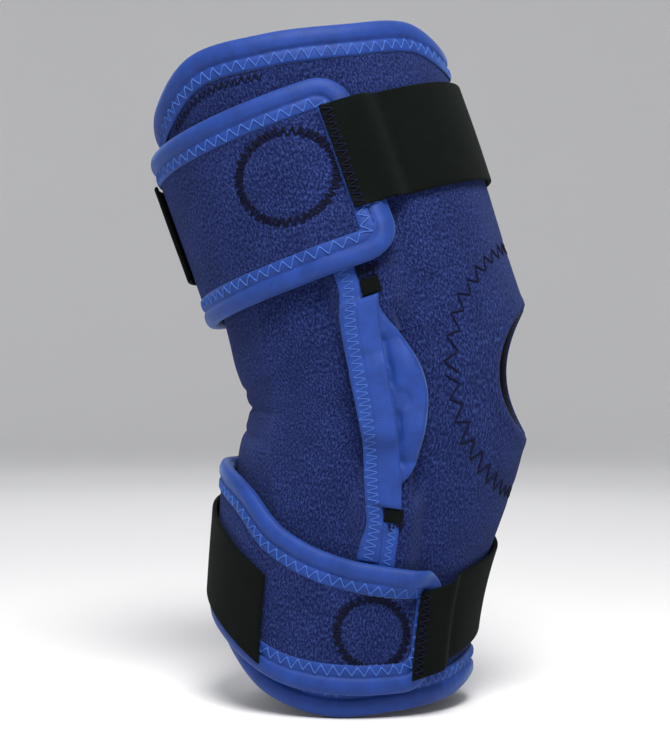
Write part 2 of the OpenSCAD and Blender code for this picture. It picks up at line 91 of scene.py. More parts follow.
UPPER_LEAN = 15
LOWER_LEAN = 5
ARM_LEN = 62
ARM_HALF = 6
HEAD_R = 10.5
ARM_START = 11
# Distance of the hinge's outer faces from the leg's middle plane, with 0.3 of play
UPPER_FACE = 53.75
LOWER_FACE = 52.2
HEAD_FACE = 55.45
UPPER_TUCK = 1
LOWER_TUCK = 4.5

WING_BASE = 2.6
# circle is the middle of a wing's ring of stitches, over the hook patch
UPPER_WING = {"low": 46, "high": 112.5, "front": 69, "root": 214, "circle": (83, 98), "circle_r": 15.7}
LOWER_WING_TOP = [(46, -57.5), (90, -57), (116, -50.5), (136, -39), (157, -33.5), (190, -31)]
LOWER_WING_BOTTOM = [(46, -98), (60, -101.5), (90, -105), (115, -103.5), (150, -93), (190, -84)]
LOWER_WING = {"front": 46, "root": 190, "circle": (-82, 74), "circle_r": 12.5}
CORNER_R = 11
# How far a wing's cloth stops inside the outer edge of its binding
WING_INSET = 4.0

UPPER_STRAP = {"mid": [(-200, 83.4), (300, 83.4)], "width": 38, "front": 80, "tab": 202, "tip": 166}
LOWER_STRAP = {
    "mid": [
        (-242, -84), (-210, -71), (-180, -63), (-135, -58), (-90, -56), (-45, -59), (0, -66),
        (30, -73), (60, -82),
    ],
    "width": 32, "front": 57, "tab": 148, "tip": 119,
}


def column(x):
    return np.asarray(x, float)


def curve(line, x):
    """Smooth curve through the points of a line, at x."""
    line, x = column(line), column(x)
    n = len(line)
    before, after = np.maximum(np.arange(n) - 1, 0), np.minimum(np.arange(n) + 1, n - 1)
    slope = (line[after, 1] - line[before, 1]) / (line[after, 0] - line[before, 0])
    i = np.clip(np.searchsorted(line[:, 0], x, side="right") - 1, 0, n - 2)
    h = line[i + 1, 0] - line[i, 0]
    t = np.clip((x - line[i, 0]) / h, 0, 1)
    return (
        (2 * t**3 - 3 * t**2 + 1) * line[i, 1]
        + (t**3 - 2 * t**2 + t) * slope[i] * h
        + (3 * t**2 - 2 * t**3) * line[i + 1, 1]
        + (t**3 - t**2) * slope[i + 1] * h
    )


def ease(a, b, x):
    t = np.clip((column(x) - a) / (b - a), 0, 1)
    return t * t * (3 - 2 * t)


def bump(x, width):
    return np.exp(-((x / width) ** 2))


def fold(th):
    t = np.mod(th, 360)
    return np.where(t > 180, 360 - t, t)


def both(line, th):
    """A line that is the same on both sides of the leg, level at the front and the back."""
    first = (-line[1][0], line[1][1])
    last = (360 - line[-2][0], line[-2][1])
    return curve([first, *line, last], fold(th))


def leg(s, th, off):
    """Points in metres at heights s, angles th and distances off."""
    s, th, off = np.broadcast_arrays(column(s), column(th), column(off))
    front, back, half = curve(FRONT_LINE, s), curve(BACK_LINE, s), curve(SIDE_LINE, s)
    deep = (front + back) / 2
    c, sn = np.cos(np.radians(th)), np.sin(np.radians(th))
    taper = 1 - KNEECAP_TAPER * bump(s - 3, 34) * np.maximum(c, 0) ** 2
    nx, ny = half * c, deep * sn
    n = np.hypot(nx, ny)
    r = (front - back) / 2 + deep * c + off * nx / n
    y = -(half * taper * sn + off * ny / n)
    w = ease(-BEND_REACH, BEND_REACH, s)
    a, b = math.radians(THIGH_LEAN), math.radians(SHIN_LEAN)
    xt, zt = -s * math.sin(a) + r * math.cos(a), s * math.cos(a) + r * math.sin(a)
    xs, zs = s * math.sin(b) + r * math.cos(b), s * math.cos(b) - r * math.sin(b)
    return np.stack([w * xt + (1 - w) * xs - KNEE_SETBACK, y, w * zt + (1 - w) * zs], -1) * MM


def from_arm(x, z, lean, up):
    """Distance in the side view from points to an arm's middle line."""
    a = math.radians(lean)
    u = up * z * math.cos(a) - x * math.sin(a)
    v = x * math.cos(a) + up * z * math.sin(a)
    end = ARM_LEN - ARM_HALF
    return np.where(u < 0, np.hypot(x, z), np.where(u > end, np.hypot(u - end, v), np.abs(v)))


def pocket(s, th, level=1.0, foot=4.5):
    """Height over the sleeve that clears an arm or the hinge where one lies below."""
    p = leg(s, fold(th), 0) / MM
    x, y, z = p[..., 0], p[..., 1], p[..., 2]
    middle = np.hypot(x, z)
    reach = np.maximum(middle - ARM_START, 0)
    upper = UPPER_FACE - reach * math.sin(math.radians(UPPER_TUCK)) + y
    lower = LOWER_FACE - reach * math.sin(math.radians(LOWER_TUCK)) + y
    return np.maximum.reduce([
        upper * (1 - ease(ARM_HALF + level, ARM_HALF + foot, from_arm(x, z, UPPER_LEAN, 1))),
        lower * (1 - ease(ARM_HALF + level, ARM_HALF + foot, from_arm(x, z, LOWER_LEAN, -1))),
        (HEAD_FACE + y) * (1 - ease(HEAD_R + level, HEAD_R + foot + 1.5, middle)),
        np.zeros_like(x),
    ])


def bridge(s, th):
    return pocket(s, th, 2.5, 12)


def arm_mid(s):
    """Angle round the leg of the arms' middle line at height s."""
    s = column(s)
    front, back = curve(FRONT_LINE, s), curve(BACK_LINE, s)
    lean = np.where(s > 0, THIGH_LEAN - UPPER_LEAN, SHIN_LEAN - LOWER_LEAN)
    r = KNEE_SETBACK + np.abs(s) * np.tan(np.radians(lean))
    return np.degrees(np.arccos((r - (front - back) / 2) / ((front + back) / 2)))


# ---- Meshes ---------------------------------------------------------------------------------------


# Points closer together than this, in metres, are one point.
MERGE = 1e-7


def deselect():
    for obj in bpy.context.selected_objects:
        obj.select_set(False)


def make_mesh(name, points, faces, uv, materials, face_material=None):
    """A smooth-shaded object from points, quads and a flat layout of each quad's corners in millimetres."""
    data = bpy.data.meshes.new(name)
    faces = np.asarray(faces, np.int32)
    data.vertices.add(len(points))
    data.vertices.foreach_set("co", np.asarray(points, np.float32).ravel())
    data.loops.add(faces.size)
    data.loops.foreach_set("vertex_index", faces.ravel())
    data.polygons.add(len(faces))
    data.polygons.foreach_set("loop_start", np.arange(0, faces.size, 4, dtype=np.int32))
    data.polygons.foreach_set("use_smooth", np.ones(len(faces), bool))
    for material in materials:
        data.materials.append(material)
    if face_material is not None:
        data.polygons.foreach_set("material_index", np.asarray(face_material, np.int32))
    layer = data.uv_layers.new(name="cloth")
    layer.data.foreach_set("uv", np.asarray(uv, np.float32).ravel())
    data.update(calc_edges=True)
    data.validate()
    obj = bpy.data.objects.new(name, data)
    bpy.context.scene.collection.objects.link(obj)
    return obj


def cells(grid):
    """The four corners of each cell of a grid."""
    return np.stack([grid[:-1, :-1], grid[:-1, 1:], grid[1:, 1:], grid[1:, :-1]], 2)


def shell(name, outer, inner, uv, materials, closed=False, inner_slot=0):
    """A closed cloth shell between two grids of points; closed joins the last column to the first.
    The inner face takes the material numbered inner_slot."""
    n, m = outer.shape[:2]
    points = np.concatenate([outer.reshape(-1, 3), inner.reshape(-1, 3)])
    wrap = np.append(np.arange(n), 0) if closed else np.arange(n)
    number = np.arange(2 * n * m).reshape(2, n, m)[:, wrap]
    around = np.concatenate([uv, uv[:1] + [[[uv[-1, 0, 0] * n / (n - 1), 0]]]]) if closed else uv

    def quads(grid, flat):
        return cells(grid).reshape(-1, 4), cells(flat).reshape(-1, 4, 2)

    parts = [quads(number[0], around), quads(number[1][:, ::-1], around[:, ::-1])]
    sides = [(number[:, :, 0][::-1].T, around[:, 0]), (number[:, :, -1].T, around[:, -1])]
    if not closed:
        sides += [(number[:, 0].T[::-1], around[0][::-1]), (number[:, -1].T, around[-1])]
    for ids, flat in sides:
        parts.append(quads(ids, np.stack([flat, flat], 1)))
    faces = np.concatenate([p[0] for p in parts])
    corners = np.concatenate([p[1] for p in parts])
    slots = np.zeros(len(faces), np.int32)
    slots[len(parts[0][0]):len(parts[0][0]) + len(parts[1][0])] = inner_slot
    obj = make_mesh(name, points, faces, corners, materials, slots)
    outward(obj)
    return obj


def outward(obj):
    """Gives the mesh one consistent winding with its faces outwards."""
    deselect()
    obj.select_set(True)
    bpy.context.view_layer.objects.active = obj
    bpy.ops.object.mode_set(mode="EDIT")
    bpy.ops.mesh.select_all(action="SELECT")
    bpy.ops.mesh.remove_doubles(threshold=MERGE)
    bpy.ops.mesh.normals_make_consistent(inside=False)
    bpy.ops.object.mode_set(mode="OBJECT")
    obj.select_set(False)


def smooth_line(points, n):
    """A round curve through points, sampled n times."""
    p = column(points)
    t = np.concatenate([[0], np.cumsum(np.linalg.norm(np.diff(p, axis=0), axis=1))])
    at = np.linspace(0, t[-1], n)
    return np.stack([curve(np.stack([t, p[:, k]], 1), at) for k in range(p.shape[1])], 1)


def spaced(length, step, lip=0.0):
    """Samples from 0 to length about step apart, closer together within lip of both ends."""
    ends = lip * np.array([0, 0.07, 0.25, 0.55, 1.0]) if lip else np.array([0.0])
    inner = np.linspace(ends[-1], length - ends[-1], max(int(length / step), 3))
    return np.concatenate([ends[:-1], inner, (length - ends[:-1])[::-1]])


def rounding(d, r):
    """How far a cloth's face falls at distance d from its edge, for an edge of radius r."""
    return r - np.sqrt(np.maximum(r * r - np.maximum(r - d, 0) ** 2, 0))


def ribbon(name, path, profile, place, materials, closed=False):
    """A tape swept along a flat path of [arc, height], with a closed profile of [inset, level] that has
    an even number of points. place(s, th, level) gives the points."""
    path, profile = column(path), column(profile)
    if closed:
        direction = np.roll(path, -1, 0) - np.roll(path, 1, 0)
        direction[0] = direction[-1] = [np.sign(path[1, 0] - path[0, 0]), 0]
    else:
        direction = np.gradient(path, axis=0)
    side = np.stack([-direction[:, 1], direction[:, 0]], 1)
    side /= np.linalg.norm(side, axis=1, keepdims=True)
    flat = path[:, None] + side[:, None] * profile[None, :, :1]
    points = place(flat[..., 1], flat[..., 0] / MM_PER_DEG, profile[None, :, 1])
    n, m = points.shape[:2]
    number = np.arange(n * m).reshape(n, m)
    rows = np.append(np.arange(n), 0) if closed else np.arange(n)
    ring = np.append(np.arange(m), 0)
    grid = number[rows][:, ring]
    steps = np.linalg.norm(np.diff(path, axis=0), axis=1)
    along = np.concatenate([[0], np.cumsum(steps)])
    if closed:
        along = np.append(along, along[-1] + steps[-1])
    across = np.concatenate([[0], np.cumsum(np.linalg.norm(np.diff(profile[ring], axis=0), axis=1))])
    uv = np.stack(np.meshgrid(along, across, indexing="ij"), -1)
    faces, corners = cells(grid).reshape(-1, 4), cells(uv).reshape(-1, 4, 2)
    if not closed:
        low = np.arange(m // 2 - 1)
        high = m - 1 - low
        for end in (0, n - 1):
            cap = np.stack([number[end, k] for k in (low, low + 1, high - 1, high)], -1)
            faces = np.concatenate([faces, cap])
            corners = np.concatenate([corners, np.zeros((len(cap), 4, 2)) + uv[end, 0]])
    obj = make_mesh(name, points.reshape(-1, 3), faces, corners, materials)
    outward(obj)
    return obj


def thread(name, lines, place, radius, material, sides=5):
    """Sewing thread along flat lines of [arc, height, level over the cloth], as thin tubes."""
    points, faces, corners, base = [], [], [], 0
    turn = np.radians(np.arange(sides) * 360 / sides)
    for line in lines:
        line = column(line)
        at = place(line[:, 1], line[:, 0] / MM_PER_DEG, line[:, 2])
        up = place(line[:, 1], line[:, 0] / MM_PER_DEG, line[:, 2] + 1) - at
        up /= np.linalg.norm(up, axis=1, keepdims=True)
        along = np.gradient(at, axis=0)
        across = np.cross(along, up)
        across /= np.maximum(np.linalg.norm(across, axis=1, keepdims=True), 1e-9)
        offset = np.cos(turn)[None, :, None] * across[:, None] + np.sin(turn)[None, :, None] * up[:, None]
        ring = at[:, None] + radius * MM * offset
        n = len(line)
        grid = base + np.arange(n * sides).reshape(n, sides)[:, np.append(np.arange(sides), 0)]
        points.append(ring.reshape(-1, 3))
        quads = np.stack([grid[:-1, :-1], grid[1:, :-1], grid[1:, 1:], grid[:-1, 1:]], -1)
        faces.append(quads.reshape(-1, 4))
        u = np.arange(n - 1, dtype=float)[:, None, None, None] * 0.4 + np.zeros((1, sides, 4, 2))
        corners.append(u.reshape(-1, 4, 2))
        base += n * sides
    return make_mesh(name, np.concatenate(points), np.concatenate(faces), np.concatenate(corners), [material])


def along_path(path, step):
    """A flat path resampled about step apart, with its left-hand normals."""
    path = column(path)
    t = np.concatenate([[0], np.cumsum(np.linalg.norm(np.diff(path, axis=0), axis=1))])
    at = np.linspace(0, t[-1], max(int(round(t[-1] / step)), 2) + 1)
    points = np.stack([np.interp(at, t, path[:, k]) for k in range(2)], 1)
    direction = np.gradient(points, axis=0)
    side = np.stack([-direction[:, 1], direction[:, 0]], 1)
    return points, side / np.linalg.norm(side, axis=1, keepdims=True)


def zigzag(path, pitch, width, level, sink=0.35, per=5, seed=0):
    """Zigzag stitches along a flat path: [arc, height, level] for each half stitch, dipping at its ends."""
    points, side = along_path(path, pitch / 2)
    rng = np.random.default_rng(seed)
    sway = rng.normal(0, 0.05 * width, len(points))
    ends = points + side * ((-1.0) ** np.arange(len(points)) * width / 2 + sway)[:, None]
    t = np.linspace(0, 1, per)
    lines = []
    for a, b in zip(ends[:-1], ends[1:]):
        flat = a + (b - a) * t[:, None]
        lift = level - sink * (2 * t - 1) ** 6
        lines.append(np.column_stack([flat, lift]))
    return lines


def finish_piece(obj, body, replaces=()):
    """Rides on a body, or, where body is None (the sleeve) or cover (the hinge's cover), has its
    transform baked into the mesh and stays where it is."""
    if body in (None, "cover"):
        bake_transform(obj)
    else:
        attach(obj, body)
    if replaces:
        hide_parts(*replaces)
    return obj


# Radius of the thread in each kind of seam, in millimetres
THREAD_R = {"kneecap": 0.44, "circle": 0.34, "row": 0.3, "strap": 0.26, "loose": 0.24, "cover": 0.2}


def sew(name, lines, place, radius, finish, body, replaces=()):
    """Thread of one finish along lines, riding on a body or fixed in place on the cloth."""
    return finish_piece(thread(name, lines, place, radius, FINISHES[finish]), body, replaces)


# ---- Materials ------------------------------------------------------------------------------------


class Nodes:
    """A material's nodes, with short calls that add one and join it up."""

    def __init__(self, name):
        self.material = bpy.data.materials.new(name)
        self.material.use_nodes = True
        self.tree = self.material.node_tree
        self.shader = self.tree.nodes["Principled BSDF"]

    def add(self, kind, **values):
        node = self.tree.nodes.new(kind)
        for key, value in values.items():
            if key in node.inputs:
                node.inputs[key].default_value = value
            else:
                setattr(node, key, value)
        return node

    def join(self, source, target):
        self.tree.links.new(source, target)

    def paint(self, colour):
        self.join(colour, self.shader.inputs["Base Color"])

    def place(self, source, scale):
        """Coordinates from the piece's own layout (UV) or from its own space (Object), in millimetres."""
        coordinates = self.add("ShaderNodeTexCoord")
        mapping = self.add("ShaderNodeMapping")
        mapping.inputs["Scale"].default_value = scale
        self.join(coordinates.outputs[source], mapping.inputs["Vector"])
        return mapping.outputs["Vector"]

    def noise(self, where, scale, detail=2.0, roughness=0.5):
        node = self.add("ShaderNodeTexNoise", Scale=scale, Detail=detail, Roughness=roughness)
        self.join(where, node.inputs["Vector"])
        return node.outputs["Fac"]

    def ramp(self, factor, stops):
        node = self.add("ShaderNodeValToRGB")
        while len(node.color_ramp.elements) < len(stops):
            node.color_ramp.elements.new(0.5)
        for element, (at, colour) in zip(node.color_ramp.elements, stops):
            element.position = at
            element.color = (*colour, 1)
        self.join(factor, node.inputs["Fac"])
        return node.outputs["Color"]

    def mix(self, kind, factor, a, b):
        node = self.add("ShaderNodeMix", data_type="RGBA", blend_type=kind)
        node.inputs["Factor"].default_value = factor
        for value, socket in ((a, node.inputs[6]), (b, node.inputs[7])):
            if hasattr(value, "links"):
                self.join(value, socket)
            else:
                socket.default_value = (*value, 1)
        return node.outputs[2]

    def maths(self, kind, a, b):
        node = self.add("ShaderNodeMath", operation=kind)
        for value, socket in ((a, node.inputs[0]), (b, node.inputs[1])):
            if hasattr(value, "links"):
                self.join(value, socket)
            else:
                socket.default_value = value
        return node.outputs[0]

    def relief(self, height, strength, distance):
        node = self.add("ShaderNodeBump", Strength=strength, Distance=distance * MM)
        self.join(height, node.inputs["Height"])
        self.join(node.outputs["Normal"], self.shader.inputs["Normal"])

    def set(self, **values):
        names = {
            "roughness": "Roughness", "metallic": "Metallic", "specular": "Specular IOR Level",
            "sheen": "Sheen Weight", "sheen_roughness": "Sheen Roughness", "sheen_tint": "Sheen Tint",
            "anisotropic": "Anisotropic",
        }
        for key, value in values.items():
            self.shader.inputs[names[key]].default_value = value


def shade(colour, k):
    return tuple(min(c * k, 1) for c in colour)


def loop_cloth(name, dark, light):
    """Brushed loop-faced neoprene: heathered flecks that run with the knit, and a soft nap."""
    m = Nodes(name)
    knit = m.place("UV", (1.15, 0.62, 1))
    flecks = m.noise(knit, 1.3, 3.5, 0.62)
    fine = m.noise(m.place("UV", (2.6, 1.5, 1)), 1.7, 2, 0.6)
    patches = m.noise(m.place("UV", (0.07, 0.07, 1)), 1.0, 2, 0.5)
    grain = m.maths("ADD", m.maths("MULTIPLY", flecks, 0.68), m.maths("MULTIPLY", fine, 0.32))
    middle = tuple((a + b) / 2 * 0.82 for a, b in zip(dark, light))
    colour = m.ramp(grain, [(0.36, shade(dark, 0.75)), (0.47, dark), (0.56, middle), (0.7, light)])
    worn = m.ramp(patches, [(0.35, (0.78, 0.78, 0.8)), (0.65, (1, 1, 1))])
    m.paint(m.mix("MULTIPLY", 1.0, colour, worn))
    m.relief(grain, 0.75, 0.8)
    m.set(roughness=0.96, specular=0.08, sheen=0.1, sheen_roughness=0.5, sheen_tint=(0.3, 0.4, 0.95, 1))
    return m.material


def stretch_cloth(name, colour):
    """Smooth matt stretch binding: fine ribs across the tape, and a little unevenness in the dye."""
    m = Nodes(name)
    where = m.place("UV", (1, 1, 1))
    rib = m.add("ShaderNodeTexWave", wave_type="BANDS", bands_direction="X")
    rib.inputs["Scale"].default_value = 0.62
    rib.inputs["Distortion"].default_value = 1.2
    rib.inputs["Detail"].default_value = 2
    m.join(where, rib.inputs["Vector"])
    cloudy = m.noise(where, 0.16, 3, 0.55)
    fibre = m.noise(where, 3.2, 2, 0.6)
    dye = m.ramp(cloudy, [(0.32, shade(colour, 0.82)), (0.66, shade(colour, 1.12))])
    ribs = m.ramp(rib.outputs["Fac"], [(0.1, (0.86, 0.87, 0.9)), (0.7, (1, 1, 1))])
    m.paint(m.mix("MULTIPLY", 0.8, dye, ribs))
    height = m.maths("ADD", m.maths("MULTIPLY", rib.outputs["Fac"], 0.6), m.maths("MULTIPLY", fibre, 0.5))
    m.relief(height, 0.28, 0.25)
    m.set(roughness=0.62, specular=0.28, sheen=0.3, sheen_roughness=0.35, sheen_tint=(0.4, 0.6, 1, 1))
    return m.material


def strap_cloth(name, colour):
    """Black brushed strap: a dense short nap with faint lengthwise lines."""
    m = Nodes(name)
    nap = m.noise(m.place("UV", (1.0, 1.6, 1)), 1.6, 3, 0.65)
    lines = m.noise(m.place("UV", (0.12, 1.4, 1)), 1.0, 2, 0.5)
    mottle = m.noise(m.place("UV", (0.09, 0.09, 1)), 1.0, 3, 0.6)
    grain = m.maths("ADD", m.maths("MULTIPLY", nap, 0.7), m.maths("MULTIPLY", lines, 0.3))
    body = m.ramp(grain, [(0.35, shade(colour, 0.55)), (0.55, colour), (0.72, shade(colour, 2.0))])
    worn = m.ramp(mottle, [(0.35, (0.8, 0.82, 0.8)), (0.62, (1, 1, 1))])
    m.paint(m.mix("MULTIPLY", 1.0, body, worn))
    m.relief(grain, 0.6, 0.5)
    m.set(roughness=0.95, specular=0.06, sheen=0.03, sheen_roughness=0.5, sheen_tint=(0.5, 0.6, 0.55, 1))
    return m.material


def lining_cloth(name, colour):
    """Knitted nylon lining: small rows of stitches."""
    m = Nodes(name)
    rows = m.add("ShaderNodeTexWave", wave_type="BANDS", bands_direction="Y")
    rows.inputs["Scale"].default_value = 0.45
    rows.inputs["Distortion"].default_value = 2.0
    m.join(m.place("UV", (1, 1, 1)), rows.inputs["Vector"])
    fuzz = m.noise(m.place("UV", (1.4, 1.4, 1)), 1.2, 2, 0.6)
    m.paint(m.ramp(fuzz, [(0.35, shade(colour, 0.7)), (0.65, shade(colour, 1.3))]))
    m.relief(m.maths("ADD", rows.outputs["Fac"], fuzz), 0.4, 0.3)
    m.set(roughness=0.85, specular=0.2, sheen=0.2, sheen_roughness=0.4)
    return m.material


def sewing_thread(name, colour):
    m = Nodes(name)
    twist = m.noise(m.place("UV", (6, 6, 1)), 1.0, 2, 0.5)
    m.paint(m.ramp(twist, [(0.3, shade(colour, 0.75)), (0.7, shade(colour, 1.2))]))
    m.relief(twist, 0.3, 0.15)
    m.set(roughness=0.7, specular=0.12)
    return m.material


def hook_cloth(name, colour):
    """Hook tape: a dense grid of tiny moulded hooks."""
    m = Nodes(name)
    hooks = m.add("ShaderNodeTexVoronoi", feature="F1")
    hooks.inputs["Scale"].default_value = 0.9
    m.join(m.place("UV", (1, 1, 1)), hooks.inputs["Vector"])
    tips = m.ramp(hooks.outputs["Distance"], [(0.1, shade(colour, 3)), (0.45, colour)])
    m.paint(tips)
    m.relief(hooks.outputs["Distance"], 0.8, 0.5)
    m.set(roughness=0.55, specular=0.4)
    return m.material


def brushed_metal(name, colour, roughness, along):
    """Metal with fine scratches along one direction of the piece."""
    m = Nodes(name)
    scratches = m.noise(m.place("Object", along), 1.0, 4, 0.6)
    wear = m.noise(m.place("Object", (160, 160, 160)), 1.0, 3, 0.6)
    m.paint(m.ramp(scratches, [(0.3, shade(colour, 0.82)), (0.7, colour)]))
    rough = m.ramp(wear, [(0.3, (roughness,) * 3), (0.7, (roughness + 0.14,) * 3)])
    m.join(rough, m.shader.inputs["Roughness"])
    m.relief(scratches, 0.15, 0.1)
    m.set(metallic=1.0, anisotropic=0.4)
    return m.material


def moulded_plastic(name, colour, roughness, grain):
    m = Nodes(name)
    skin = m.noise(m.place("Object", (1400, 1400, 1400)), 1.0, 2, 0.5)
    flow = m.noise(m.place("Object", (120, 120, 120)), 1.0, 2, 0.5)
    m.paint(m.ramp(flow, [(0.3, shade(colour, 0.85)), (0.7, shade(colour, 1.15))]))
    m.relief(skin, grain, 0.12)
    m.set(roughness=roughness, specular=0.4)
    return m.material


FINISHES = {}


def make_finishes(colours):
    navy, fleck = tuple(colours.navy), tuple(colours.fleck)
    royal, black = tuple(colours.royal), tuple(colours.black)
    FINISHES.update(
        sleeve=loop_cloth("loop_neoprene", navy, fleck),
        lining=lining_cloth("knit_lining", tuple(colours.lining)),
        binding=stretch_cloth("stretch_binding", royal),
        cover=stretch_cloth("stretch_cover", shade(royal, 1.04)),
        strap=strap_cloth("strap_webbing", black),
        hook=hook_cloth("hook_tape", black),
        light_thread=sewing_thread("light_thread", tuple(colours.light_thread)),
        dark_thread=sewing_thread("dark_thread", tuple(colours.dark_thread)),
        arm=brushed_metal("arm_aluminium", (0.72, 0.73, 0.75), 0.32, (3000, 3000, 90)),
        rivet=brushed_metal("rivet_steel", (0.56, 0.55, 0.53), 0.26, (900, 900, 900)),
        cap=moulded_plastic("cap_plastic", (0.018, 0.018, 0.02), 0.5, 0.35),
        washer=moulded_plastic("washer_nylon", (0.78, 0.77, 0.72), 0.42, 0.15),
    )


# ---- Settings -------------------------------------------------------------------------------------


class KneeSizes(bpy.types.PropertyGroup):
    wall: FloatProperty(
        name="Sleeve thickness", description="Thickness of the neoprene sleeve",
        default=0.0035, unit="LENGTH"
    )
    wing_wall: FloatProperty(
        name="Wing thickness", description="Thickness of the closing wings", default=0.003, unit="LENGTH"
    )
    strap_wall: FloatProperty(
        name="Strap thickness", description="Thickness of the straps", default=0.0016, unit="LENGTH"
    )
    hole_height: FloatProperty(
        name="Kneecap opening", description="Height of the kneecap opening", default=0.03, unit="LENGTH"
    )
    hole_spread: FloatProperty(
        name="Opening's spread", description="Half of the kneecap opening's spread round the leg",
        default=math.radians(36), subtype="ANGLE",
    )
    bead: FloatProperty(
        name="Rolled edge", description="Width of the rolled edge of a binding",
        default=0.0058, unit="LENGTH"
    )
    flat: FloatProperty(
        name="Stitched edge", description="Width of a binding's flat, stitched part",
        default=0.0052, unit="LENGTH"
    )
    stitch: FloatProperty(
        name="Stitch pitch", description="Distance between zigzags on the bindings",
        default=0.0043, unit="LENGTH"
    )
    thread: FloatProperty(
        name="Thread radius", description="Radius of the sewing thread", default=0.00026, unit="LENGTH"
    )
    ridge: FloatProperty(
        name="Panel seam", description="Height of the raised seam behind the hinge",
        default=0.0009, unit="LENGTH"
    )


class KneeColours(bpy.types.PropertyGroup):
    navy: FloatVectorProperty(
        name="Navy", description="Ground colour of the loop fabric",
        subtype="COLOR", default=(0.0048, 0.0095, 0.058)
    )
    fleck: FloatVectorProperty(
        name="Fleck", description="Light flecks of the loop fabric",
        subtype="COLOR", default=(0.046, 0.078, 0.27)
    )
    royal: FloatVectorProperty(
        name="Royal blue", description="Bindings and hinge covers",
        subtype="COLOR", default=(0.0065, 0.037, 0.215)
    )
    black: FloatVectorProperty(
        name="Black", description="Straps and reinforcements",
        subtype="COLOR", default=(0.003, 0.0046, 0.0042)
    )
    lining: FloatVectorProperty(
        name="Lining", description="Inner face of the sleeve",
        subtype="COLOR", default=(0.012, 0.013, 0.02)
    )
    light_thread: FloatVectorProperty(
        name="Light thread", description="Stitches on the bindings",
        subtype="COLOR", default=(0.05, 0.125, 0.43)
    )
    dark_thread: FloatVectorProperty(
        name="Dark thread", description="Stitches on the loop fabric",
        subtype="COLOR", default=(0.002, 0.003, 0.018)
    )


class KneeStage(bpy.types.PropertyGroup):
    distance: FloatProperty(
        name="Camera distance", description="From the camera to the leg's middle",
        default=0.7, unit="LENGTH"
    )
    azimuth: FloatProperty(
        name="Camera azimuth", description="Turn of the camera to the front",
        default=math.radians(8), subtype="ANGLE"
    )
    view: FloatProperty(
        name="Field of view", description="Height of the view as an angle",
        default=math.radians(22.85), subtype="ANGLE"
    )
    key: FloatProperty(name="Key light", description="Power of the key light in watts", default=14, min=0)
    fill: FloatProperty(name="Fill light", description="Power of the fill light in watts", default=1.5, min=0)
    rim: FloatProperty(name="Rim light", description="Power of the rim light in watts", default=4, min=0)


# ---- Sleeve ---------------------------------------------------------------------------------------

SEAM_LINE = [(-60, 122), (-45.7, 123.5), (-20.6, 133.7), (9.8, 135.5), (41.7, 131), (60, 130)]
HOLE_MID = 3
RING_MID = 5
RING_HALF = (34, 60)
# How far the sleeve's cloth stops inside both rims, under the bindings
RIM_INSET = 2.2
# Rows of the sleeve below, beside and above the kneecap opening
BELOW_ROWS = 60
BESIDE_ROWS = 37
ABOVE_ROWS = 72


def creases(s, th):
    """Soft folds at the back of the knee, and a slight unevenness at the front and the back."""
    back = np.maximum(-np.cos(np.radians(th)), 0) ** 3
    front = np.maximum(np.cos(np.radians(th)), 0) ** 2
    folds = sum(
        -depth * bump(s - at - 5 * np.sin(np.radians(th * 2 + turn)), wide)
        for at, depth, wide, turn in ((-15, 0.9, 2.6, 0), (-2, 1.3, 3.0, 70), (11, 0.8, 2.4, 140))
    )
    uneven = 0.25 * np.sin(s / 9 + 2.2 * np.sin(np.radians(th))) * np.cos(np.radians(th * 3))
    return back * (folds + uneven) + front * uneven * 0.8


def seam(s, th, height):
    """Raised panel seam: a sharp step at the rear that falls off softly to the front."""
    d = (curve(SEAM_LINE, s) - th) * MM_PER_DEG
    near = ease(-62, -50, s) * (1 - ease(50, 60, s))
    return height * near * np.where(d > 0, np.exp(-np.maximum(d, 0) / 7), bump(d, 1.1))


def on_sleeve(s, th, off):
    """A point on the sleeve's uneven outer face."""
    return leg(s, th, off + creases(s, th))


def sleeve_rows(rim_low, rim_high, hole_low, hole_high, hole_share):
    """Heights of one column of the sleeve: below, beside and above the kneecap opening."""
    below = rim_low + (hole_low - rim_low) * np.linspace(0, 1, BELOW_ROWS)[:-1]
    beside = hole_low + (hole_high - hole_low) * hole_share
    above = hole_high + (rim_high - hole_high) * np.linspace(0, 1, ABOVE_ROWS)[1:]
    return np.concatenate([below, beside, above])


